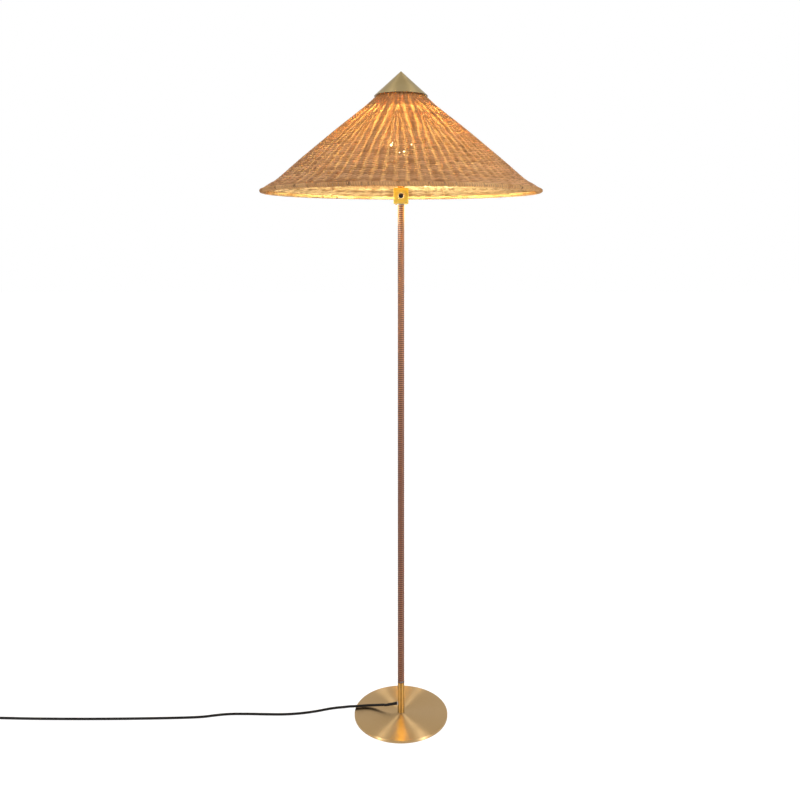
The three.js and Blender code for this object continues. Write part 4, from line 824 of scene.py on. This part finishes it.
def through(points, steps=16):
    """Fill in a smooth line through given points."""
    points = [np.array(point, float) for point in points]
    points = [2 * points[0] - points[1], *points, 2 * points[-1] - points[-2]]
    line = []
    for a, b, c, d in zip(points, points[1:], points[2:], points[3:]):
        squared = a - 2.5 * b + 2 * c - d / 2
        cubed = 1.5 * (b - c) + (d - a) / 2
        for t in np.arange(steps) / steps:
            line.append(b + (c - a) * t / 2 + squared * t**2 + cubed * t**3)
    return np.array([*line, points[-2]])


slope_line = through(SHADE_OUTLINE)
slope_way = np.gradient(slope_line, axis=0)
slope_way /= np.linalg.norm(slope_way, axis=1)[:, None]
slope_line = slope_line - HALF_WALL * np.c_[slope_way[:, 1], -slope_way[:, 0]]
slope_at = np.r_[0, np.cumsum(np.linalg.norm(np.diff(slope_line, axis=0), axis=1))]
slope_length = slope_at[-1]


def radius_at(up):
    """Radius of the weave's middle at a way up the slope."""
    return np.interp(up, slope_at, slope_line[:, 0])


def height_at(up):
    """Height of the weave's middle at a way up the slope."""
    return np.interp(up, slope_at, slope_line[:, 1])


def up_at(height):
    """How far up the slope a height lies."""
    return np.interp(height, slope_line[:, 1], slope_at)


def way_at(up):
    """Which way the slope runs: how far out and how far up in one millimetre."""
    return np.interp(up, slope_at, slope_way[:, 0]), np.interp(up, slope_at, slope_way[:, 1])


def on_shade(up, degrees, stand_off=0.0):
    """Places on the weave, in mm: up the slope from the rim, round from the front, and off its middle."""
    up, degrees, stand_off = np.broadcast_arrays(up, degrees, stand_off)
    way_out, way_up = way_at(up)
    radius = radius_at(up) + stand_off * way_up
    height = height_at(up) - stand_off * way_out
    turn = np.radians(degrees)
    return np.stack([radius * np.sin(turn), -radius * np.cos(turn), height], axis=-1)


print("slope:", round(slope_length, 1), "mm")

# %% [markdown]
# ## Reeds
# A reed is swept along its line with a flat oval section. The curve is then made a mesh, and each of its
# points keeps three things for the material: how dark this stretch of reed is, whether the point lies on a
# narrow edge, and a coordinate that runs along the fibres. Natural reed changes colour from strand to strand
# and at every joint, so the tone changes in steps of a hand's width.

# %% Sweeping reeds
SIDES = 6
NARROW_EDGES = [1.0, 0, 0, 1.0, 0, 0]
STRAND_STEP = 0.37
TONE_STRETCH = 90.0
chance = np.random.default_rng(7)


def reed_section(half_width, half_thickness):
    """An oval outline for a reed, as the bevel of a curve."""
    curve = bpy.data.curves.new("reed section", "CURVE")
    curve.dimensions = "2D"
    spline = curve.splines.new("POLY")
    spline.points.add(SIDES - 1)
    for number, point in enumerate(spline.points):
        angle = math.tau * number / SIDES
        point.co = (half_width * MM * math.cos(angle), half_thickness * MM * math.sin(angle), 0, 1)
    spline.use_cyclic_u = True
    return bpy.data.objects.new("reed section", curve)


def reed_tones(points):
    """A tone from 0 to 1 for each point, the same for about a hand's width, and each point's way along."""
    steps = np.linalg.norm(np.diff(points, axis=0), axis=1)
    along = np.r_[0, np.cumsum(steps)]
    count = int(along[-1] / TONE_STRETCH) + 2
    edges = np.sort(chance.uniform(0, along[-1] + 1, count))
    tones = chance.beta(1.2, 1.3, count + 1)
    return tones[np.searchsorted(edges, along)], along


def reeds(name, lines, section, material, *nodes, tilts=None, sizes=None, twist="Z_UP", closed=False):
    """Sweep a section along lines in millimetres, keep tone and fibre coordinates, and dress the piece."""
    curve = bpy.data.curves.new(name, "CURVE")
    curve.dimensions = "3D"
    curve.twist_mode = twist
    curve.bevel_mode = "OBJECT"
    curve.bevel_object = section
    tone_values, edge_values, fibre_values = [], [], []
    for number, points in enumerate(lines):
        spline = curve.splines.new("POLY")
        spline.points.add(len(points) - 1)
        spline.points.foreach_set("co", np.c_[points * MM, np.ones(len(points))].ravel())
        if tilts is not None:
            spline.points.foreach_set("tilt", tilts[number])
        if sizes is not None:
            spline.points.foreach_set("radius", sizes[number])
        spline.use_cyclic_u = closed
        tones, along = reed_tones(points)
        across = np.tile(np.arange(SIDES) / SIDES, len(points))
        tone_values.append(np.repeat(tones, SIDES))
        edge_values.append(np.tile(NARROW_EDGES, len(points)))
        strand = np.full(len(across), number * STRAND_STEP)
        fibre_values.append(np.c_[np.repeat(along * MM, SIDES), across, strand])
    swept = add_object(name, curve)
    mesh = bpy.data.meshes.new_from_object(swept.evaluated_get(bpy.context.evaluated_depsgraph_get()))
    bpy.data.objects.remove(swept)
    for label, values in (("tone", tone_values), ("edge", edge_values)):
        mesh.attributes.new(label, "FLOAT", "POINT").data.foreach_set("value", np.concatenate(values))
    fibre = mesh.attributes.new("fibre", "FLOAT_VECTOR", "POINT")
    fibre.data.foreach_set("vector", np.concatenate(fibre_values).ravel())
    bm = bmesh.new()
    bm.from_mesh(mesh)
    ends = [e for e in bm.edges if e.is_boundary]
    if ends:
        bmesh.ops.holes_fill(bm, edges=ends, sides=SIDES)
    print(name, len(bm.faces), "faces")
    return dress(piece_from(bm, name, 70), "shade", "wicker", material, *nodes)


# %% [markdown]
# ## Material of the weave: smoked rattan core
# Rattan core is a pale, straight-grained cane without its shiny bark. Smoked, it is tan to light brown, dull,
# and a little see-through where a lamp stands behind it. So the shader is a rough surface mixed with a
# translucent one, in a colour that depends on the strand and on fine grain along it.

# %% Smoked rattan core
THIN_FROM, THIN_TO = 1.15, 1.27
THIN_LOW, THIN_HIGH = 0.8, 1.38
GRAIN_SHARE, WARM_SHARE = 0.45, 0.95


def rattan(name, outer, bulb_lit_tones, grain_tone, stain_and_shade, see_through, edge_shade):
    """Rattan: two tones a side, painted light on the bulb's side, and a share of light that comes through."""
    material, shader = new_material(name, Roughness=0.62, IOR=1.48)
    tone, edge = [
        add_node(material, "Attribute", attribute_name=kept)["Fac"] for kept in ("tone", "edge")
    ]
    fibre = add_node(material, "Attribute", attribute_name="fibre")["Vector"]
    # Grain lines on a reed are hair-fine. They are drawn about 0.6 mm apart, so that a few show on each
    # strand.
    grain = soft_noise(material, fibre, (40.0, 9.0, 5.0))
    spots = soft_noise(material, fibre, (50.0, 1.0, 5.0), 1.0, 0.64, 0.72)
    # Painted light: the side of a reed that faces the bulb is painted in its own tones, with a yellower light
    # tone, for the glare of the bulb on it.
    coordinates = add_node(material, "TexCoord")
    level = {0: coordinates["Object"], 1: (1, 1, 0)}
    flat = add_node(material, "VectorMath", level, operation="MULTIPLY")["Vector"]
    outward = add_node(material, "VectorMath", {0: flat}, operation="NORMALIZE")["Vector"]
    directions = {0: outward, 1: coordinates["Normal"]}
    facing = add_node(material, "VectorMath", directions, operation="DOT_PRODUCT")["Value"]
    turned_in = {"Value": facing, "From Min": 0.0, "From Max": -0.4}
    inside = add_node(material, "MapRange", turned_in)["Result"]
    outer_base, bulb_lit_base = [layered(material, light, (tone, dark)) for light, dark in (outer, bulb_lit_tones)]
    base = layered(material, outer_base, (inside, bulb_lit_base))
    grained = layered(material, base, (grain, grain_tone))
    colour = layered(material, base, (GRAIN_SHARE, grained), (spots, stain_and_shade))
    # Painted shade: each reed is painted darker along its narrow edges, where shade falls between two reeds,
    # in the colour also used for its stains.
    near_edge = {"Value": edge, "From Min": 0.1, "From Max": 1.0, "To Max": edge_shade}
    painted_edge_shade = add_node(material, "MapRange", near_edge)["Result"]
    slopes = {"Height": grain, "Distance": 0.15 * MM, "Strength": 0.5}
    feed(shader, {
        "Base Color": layered(material, colour, (painted_edge_shade, stain_and_shade)),
        "Normal": add_node(material, "Bump", slopes)["Normal"],
    })
    warmed = layered(material, colour, (WARM_SHARE, "#FFE6B8"))
    back = add_node(material, "BsdfTranslucent", {"Color": warmed})["BSDF"]
    # The reeds are split finer towards the top, where the basket starts, so more light comes through there.
    height = add_node(material, "SeparateXYZ", {0: coordinates["Object"]})["Z"]
    thinning = {"Value": height, "From Min": THIN_FROM, "From Max": THIN_TO}
    thinning |= {"To Min": see_through * THIN_LOW, "To Max": see_through * THIN_HIGH}
    share_through = add_node(material, "MapRange", thinning)["Result"]
    sides = {0: share_through, 1: shader.outputs[0], 2: back}
    both_sides = add_node(material, "MixShader", sides)["Shader"]
    feed(material.node_tree.nodes["Material Output"], {"Surface": both_sides})
    return material


core_reed = rattan(
    "smoked rattan core reed", ("#EEBC86", "#AC7440"), ("#F2DAAA", "#7A5226"), "#7C4820", "#66321A",
    see_through=0.43, edge_shade=0.9,
)
stake_reed = rattan(
    "smoked rattan stake", ("#CB9A68", "#A07044"), ("#C4A272", "#946E44"), "#7A502C", "#69401E",
    see_through=0.3, edge_shade=0.6,
)
rim_reed = rattan(
    "split rattan whipping", ("#E2B076", "#BE864C"), ("#D4B27A", "#8E663A"), "#8E6336", "#6E4822",
    see_through=0.06, edge_shade=0.5,
)

# %% [markdown]
# ## Stakes
# The stakes are the warp of the basket. Thirteen pairs run the whole height. Between two pairs, two single
# stakes start at the top, and lower down, where the cone is wider, a bent hairpin and one more stake are
# pushed in. At the rim that makes seventy-eight places evenly round, as the photograph's ribs show. At the
# top each stake is bent over the small ring and its end is tucked down inside, beside itself, which keeps the
# light in under the cap.

# %% Stakes of the weave
PAIRS = 13
PERIOD = 360 / PAIRS
FIRST_PAIR = -18.2
PAIR_HALF = 1.8
STAKE_HALF_WIDTH, STAKE_HALF_THICKNESS = 1.6, 1.05
FAN_TOP, FAN_DEPTH = 1300, 85
STAKE_FOOT = -1
STAKE_POINTS = 30
HAIRPIN_TOP = 1288.0
LAST_STAKE_TOP = 1277.0
LEG_HEIGHTS, LEG_SHARES = [1215, 1270, HAIRPIN_TOP], [1 / 6, 0.1, 0.04]


def shares_at(height):
    """Where the six kinds of stake stand between one pair and the next at a height, as shares of the way."""
    height = np.asarray(height, float)
    first = 1 / 3 - eased(np.clip((FAN_TOP - height) / FAN_DEPTH, 0, 1)) / 6
    leg = np.interp(height, LEG_HEIGHTS, LEG_SHARES)
    middle = np.full_like(height, 0.5)
    return [np.zeros_like(height), first, middle - leg, middle, middle + leg, 1 - first]


def stake_line(start, kind, top, off_mm=0.0):
    """One stake's line up the slope."""
    up = np.linspace(STAKE_FOOT, top, STAKE_POINTS)
    degrees = start + PERIOD * shares_at(height_at(up))[kind] + np.degrees(off_mm / radius_at(up))
    return on_shade(up, degrees)


stake_lines = []
top_end = slope_length - 0.5
for pair in range(PAIRS):
    start = FIRST_PAIR + pair * PERIOD
    for kind, off_mm in ((0, PAIR_HALF), (0, -PAIR_HALF), (1, 0), (5, 0)):
        stake_lines.append(stake_line(start, kind, top_end, off_mm))
    stake_lines.append(stake_line(start, 3, up_at(LAST_STAKE_TOP)))
    left, right = [stake_line(start, kind, up_at(HAIRPIN_TOP) - 2) for kind in (2, 4)]
    crown = on_shade(up_at(HAIRPIN_TOP), start + PERIOD / 2)
    stake_lines.append(np.concatenate([left, crown[None], right[::-1]]))
stake_section = reed_section(STAKE_HALF_WIDTH, STAKE_HALF_THICKNESS)
reeds("shade_stakes", stake_lines, stake_section, stake_reed)

# %% Ends of the stakes, bent over the small ring and tucked down inside
TURNED_DOWN = 50.0
TUCKED_IN = -3.1
end_lines = []
for pair in range(PAIRS):
    for kind, beside in ((0, 5.4), (0, -5.4), (1, 3.6), (5, -3.6)):
        up = np.linspace(top_end - 1, top_end - TURNED_DOWN + chance.uniform(-4, 4), 9)
        shares = shares_at(height_at(up))[kind]
        degrees = FIRST_PAIR + (pair + shares) * PERIOD + np.degrees(beside / radius_at(up))
        end_lines.append(on_shade(up, degrees, TUCKED_IN + chance.uniform(-0.2, 0.2)))
reeds("shade_stake_ends", end_lines, reed_section(3.1, 0.8), stake_reed)

# %% [markdown]
# ## Weavers
# The weavers go over one stake and under the next. At the top there is an odd number of places, so one long
# weaver alternates by itself from round to round. Below, with an even number, two weavers chase each other,
# one always over the even stakes and one over the odd ones. Each is flat and lies on the slope. No row made
# by hand is quite level, so all rows wander together by a few long waves, and each one strays a little by
# itself.

# %% How rows wander and stray
WANDER_WAVES = 10
WANDER_SHARE = 0.6
STRAY_ROWS, STRAY_WAVES = 120, 6

wander_waves = []
for _ in range(WANDER_WAVES):
    size, turns = chance.uniform(0.2, 0.5), int(chance.integers(2, 24))
    wander_waves.append((size, turns, chance.uniform(0.02, 0.09), chance.uniform(0, math.tau)))
row_strays = chance.normal(0, 1, (STRAY_ROWS, STRAY_WAVES))
print("waves of the rows:", len(wander_waves), "together,", STRAY_WAVES, "each")


def wander(up, degrees):
    """How far a row strays up or down the slope. Neighbouring rows stray together."""
    turn = np.radians(degrees)
    return WANDER_SHARE * sum(
        size * np.sin(turn * turns + up * rise + phase) for size, turns, rise, phase in wander_waves
    )


def row_stray(row, up, degrees):
    """How far one row strays by itself, so that rows lie now closer, now wider, most low down."""
    pick = row_strays[np.clip(row, 0, STRAY_ROWS - 1).astype(int)]
    turn = np.radians(degrees)
    loose = np.interp(up, [0, 60, 110], [0.22, 0.16, 0.11])
    return loose * sum(pick[:, n] * np.sin((3 + 5 * n) * turn + 2.1 * n) for n in range(STRAY_WAVES))


# %% [markdown]
# ## Places where the bulb shows through
# In a few places the rows of a real weave lie loose, and there the lit bulb shows as a small bright spot. A
# weaver that loses a share of its size over a few millimetres leaves such a gap.

# %% Loose places
# Degrees from the front, height, half a length up the slope, and the share of its size that a weaver loses.
LOOSE_PLACES = [
    (-6.8, 1210, 3.0, 0.34), (-5.0, 1208, 3.0, 0.36), (-1.8, 1214, 1.0, 0.5), (0.4, 1214, 1.0, 0.5),
    (3.8, 1203, 1.0, 0.5), (5.3, 1211, 2.5, 0.5), (1.6, 1188, 1.0, 0.42), (-1.2, 1188, 0.5, 0.42),
    (-19.8, 1209, 1.0, 0.46),
]
PINCH_REACH = 1.2
print("loose places:", len(LOOSE_PLACES))


def pinched(up, degrees):
    """Share of its size that a weaver keeps at a place."""
    turned_by = (np.asarray(degrees) + 180) % 360 - 180
    kept = np.ones(len(up))
    for place_degrees, place_height, half_length, pinch in LOOSE_PLACES:
        beside = np.radians(turned_by - place_degrees) * radius_at(up)
        along = np.maximum(np.abs(up - up_at(place_height)) - half_length, 0) / PINCH_REACH
        kept = np.minimum(kept, 1 - pinch * np.exp(-(beside**2) - along**2))
    return kept


# %% [markdown]
# ## Laying the weavers
# A weaver is worked out crossing by crossing: where it is round the shade and up the slope, how far it stands
# in front of its stake or behind it, and how wide it is. It spreads where it bends over a stake, and swells
# and thins a little as real reed does.

# %% Weavers of the shade
ROW_PITCH = 3.3
WEAVER_HALF_WIDTH, WEAVER_HALF_THICKNESS = 2.3, 0.8
WEAVER_SWING = 1.45
WEAVER_SPREAD = 0.8
CHANGE_HEIGHT = 1284.0
LOWEST_ROW = 1.2
KNOT_EVERY = 40
THINNEST, THICKEST = 0.92, 1.05
SAMPLE_SHARES = np.array([0, 0.13, 0.32, 0.5, 0.68, 0.87])


def weaver(bottom, top, climb, kinds, flip):
    """One weaver's line, with its tilt and size, from bottom to top up the slope at a climb for each turn."""
    per_turn = PAIRS * len(kinds)
    crossing = np.arange(int((top - bottom) / climb * per_turn))
    crossing = (crossing[:, None] + SAMPLE_SHARES).ravel()
    total = len(crossing)
    rows = crossing / per_turn
    base_up = bottom + rows * climb
    whole_turns = np.floor(rows)
    within = (rows - whole_turns) * per_turn
    degrees = np.empty(total)
    for turn in range(int(whole_turns[-1]) + 1):
        chosen = whole_turns == turn
        if chosen.any():
            shares = shares_at(height_at(base_up[chosen]).mean())
            angles = [PERIOD * (pair + float(shares[kind])) for pair in range(PAIRS) for kind in kinds]
            degrees[chosen] = np.interp(within[chosen], np.arange(per_turn + 1), [*angles, 360 + angles[0]])
    degrees += FIRST_PAIR
    over = np.cos(np.pi * (crossing + flip))
    gap = np.radians(360 / per_turn) * radius_at(base_up)
    over = np.sign(over) * np.abs(over) ** np.interp(gap, [8, 24], [1.1, 2.6])
    row = whole_turns + flip * STRAY_ROWS / 2
    up = np.maximum(base_up + wander(base_up, degrees) + row_stray(row, base_up, degrees), LOWEST_ROW)
    way_out, way_up = way_at(up)
    knots = total // KNOT_EVERY + 2
    thickness = chance.uniform(THINNEST, THICKEST, knots)
    size = np.interp(np.arange(total), np.linspace(0, total, knots), thickness)
    size = size * (1 + WEAVER_SPREAD * np.abs(over)) * pinched(up, degrees)
    return on_shade(up, degrees, WEAVER_SWING * over), np.arctan2(way_up, -way_out), size


change_up = up_at(CHANGE_HEIGHT)
flat_reed = reed_section(WEAVER_HALF_WIDTH, WEAVER_HALF_THICKNESS)
# Both lower weavers start a turn early, down inside the rim, so that no gap is left above it.
for number in (0, 1):
    start_up = 2.2 + (number - 2) * ROW_PITCH
    line, tilt, size = weaver(start_up, change_up + ROW_PITCH, 2 * ROW_PITCH, range(6), number)
    # No reed is long enough for the whole way, so a new one is spliced in halfway up.
    splice = len(line) // 2
    for label, part in (("lower", slice(0, splice + 1)), ("upper", slice(splice, None))):
        name = f"shade_weaver_{number + 1}_{label}"
        reeds(name, [line[part]], flat_reed, core_reed, tilts=[tilt[part]], sizes=[size[part]])
line, tilt, size = weaver(change_up - 1, slope_length - 2, ROW_PITCH, (0, 1, 5), 0)
reeds("shade_weaver_top", [line], flat_reed, core_reed, "shade_weave", tilts=[tilt], sizes=[size])

# %% [markdown]
# ## The rolled rim
# At the rim the stakes are cut, and a bundle of thick reeds is whipped to the edge with a flat strand that
# goes round and round it. The whipping is what the eye sees: a pale band with a small dark nick between
# turns. The strand is swept along a ring-shaped screw line, with its wide side kept along the bundle.

# %% Rim bundle and its whipping
RIM_CENTRE, RIM_HEIGHT = 295.3, 1128.3
BUNDLE_REED = 1.95
bundle_lines = []
for reed in range(3):
    lean = math.radians(90 + 120 * reed)
    reed_radius = RIM_CENTRE + BUNDLE_REED * math.cos(lean)
    reed_height = RIM_HEIGHT + BUNDLE_REED * math.sin(lean)
    bundle_lines.append(np.array(around(160, reed_radius, reed_height)))
reeds("rim_bundle", bundle_lines, reed_section(BUNDLE_REED, BUNDLE_REED), stake_reed, closed=True)

WHIP_TURNS = 352
WHIP_STEPS = 12
WHIP_RADIUS, WHIP_WAVE, WHIP_WAVES_ROUND = 3.95, 0.12, 37
NICK_CHANCE = 0.16
whip_turn = np.arange(WHIP_TURNS * WHIP_STEPS) / WHIP_STEPS
# Most turns lie close. Here and there two stand apart and leave a nick.
advance = chance.uniform(0.94, 1.06, WHIP_TURNS) + np.where(
    chance.random(WHIP_TURNS) < NICK_CHANCE, chance.uniform(0.25, 0.6, WHIP_TURNS), 0,
)
turns_laid = np.r_[0, np.cumsum(advance)] / advance.sum()
ring_angle = math.tau * np.interp(whip_turn, np.arange(WHIP_TURNS + 1), turns_laid)
lean = -math.tau * whip_turn
whip_radius = WHIP_RADIUS + WHIP_WAVE * np.sin(ring_angle * WHIP_WAVES_ROUND)
whip_reach = RIM_CENTRE + whip_radius * np.cos(lean)
whip_line = np.stack([
    whip_reach * np.sin(ring_angle), -whip_reach * np.cos(ring_angle),
    RIM_HEIGHT + whip_radius * np.sin(lean),
], axis=-1)
flat_strand = reed_section(2.6, 0.62)
reeds("rim_whipping", [whip_line], flat_strand, rim_reed, "shade_border", twist="TANGENT", closed=True)

# %% [markdown]
# ## Wire frame of the shade
# A basket this wide would sag without its frame: a steel wire inside the rim, a smaller one at the top, and
# three arms that carry the hub. They are bent from round wire and painted white so that they don't show
# against the light.

# %% Frame wires and hub
enamel = mottled(
    "white stove enamel on steel wire", 90.0, "#D8D2C6", "#E6E1D6", relief=(0.05, 0.3), relief_scale=700.0,
    Roughness=0.35, IOR=1.5,
)
for node, label, count in (("shade_rim_wire", "rim_ring", 48), ("shade_top_wire", "top_ring", 24)):
    low, high = box_mm(node)
    ring = around(count, (high.x - low.x) / 2 - 1.5, (low.z + high.z) / 2)
    dress(wires(label, [ring], 1.4, closed=True), "shade", "steel", enamel, node)
hub_outline = [(3.3, 1320.1, 0.2), (12, 1320.1, 0.4), (12, 1323.1, 0.4), (3.3, 1323.1, 0.2)]
turned_piece("shade_spider", hub_outline, 64, "shade", "steel", enamel, "shade_hub")
ARM_OUTLINE = [(11.2, 1321.6), (13.5, 1321.9), (26, 1329.2), (40.2, 1336.6)]
for arm in range(3):
    turn = math.pi / 2 + arm * math.tau / 3
    arm_line = [(reach * math.cos(turn), reach * math.sin(turn), height) for reach, height in ARM_OUTLINE]
    dress(wires(f"spider_arm_{arm + 1}", [arm_line], 1.5), "shade", "steel", enamel, f"shade_arm_{arm + 1}")

# %% [markdown]
# ## The cap
# The cap is one spun brass cone with a thin wall. It screws on the harp's stud with a turned boss inside, and
# holds the shade down. Its lip is cut square and slightly rounded.

# %% Cap and boss
cap_outline = [
    (0, 1389), (1.2, 1388.2), (58.5, 1335, 0.25), (57.1, 1335, 0.25), (1.1, 1386.8), (0, 1387.2),
]
turned_piece(
    "brass_cap", cap_outline, 160, "cap", "satin_brass", cap_brass, "cap_cone", closed=False, crisp=25,
)
boss_outline = [
    (3.3, 1323.4), (8, 1323.4, 0.6), (8, 1378.5, 0.6), (4, 1383.3, 0.4), (0, 1383.3), (0, 1353.8),
    (3.3, 1353.8),
]
turned_piece("cap_screw_boss", boss_outline, 48, "cap", "polished_brass", polished, "cap_boss", closed=False)

# %% [markdown]
# ## Wiring
# Three insulated wires run up inside the stem and through the head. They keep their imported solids, and get
# the colours and the slight mottle of insulation.

# %% Insulated cores
BROWN, BLUE = ("#5E3A22", "#6E452A"), ("#2A5590", "#3564A6")
for node, label, tones in (
    ("core_live", "brown PVC insulation", BROWN), ("core_neutral", "blue PVC insulation", BLUE),
    ("core_switched", "brown PVC insulation, switched", BROWN),
):
    refinish(mottled(label, 500.0, *tones, Roughness=0.4, IOR=1.53), node)

# %% [markdown]
# ## Measuring
# The dressed lamp has to stay in the box of its solids, so both boxes are printed.

# %% Sizes
bpy.context.view_layer.update()
dressed_box = [list(corner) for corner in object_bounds()]
for label, box in (("solids", cad_box), ("dressed", dressed_box)):
    print(label, [[round(value / MM, 1) for value in corner] for corner in box])
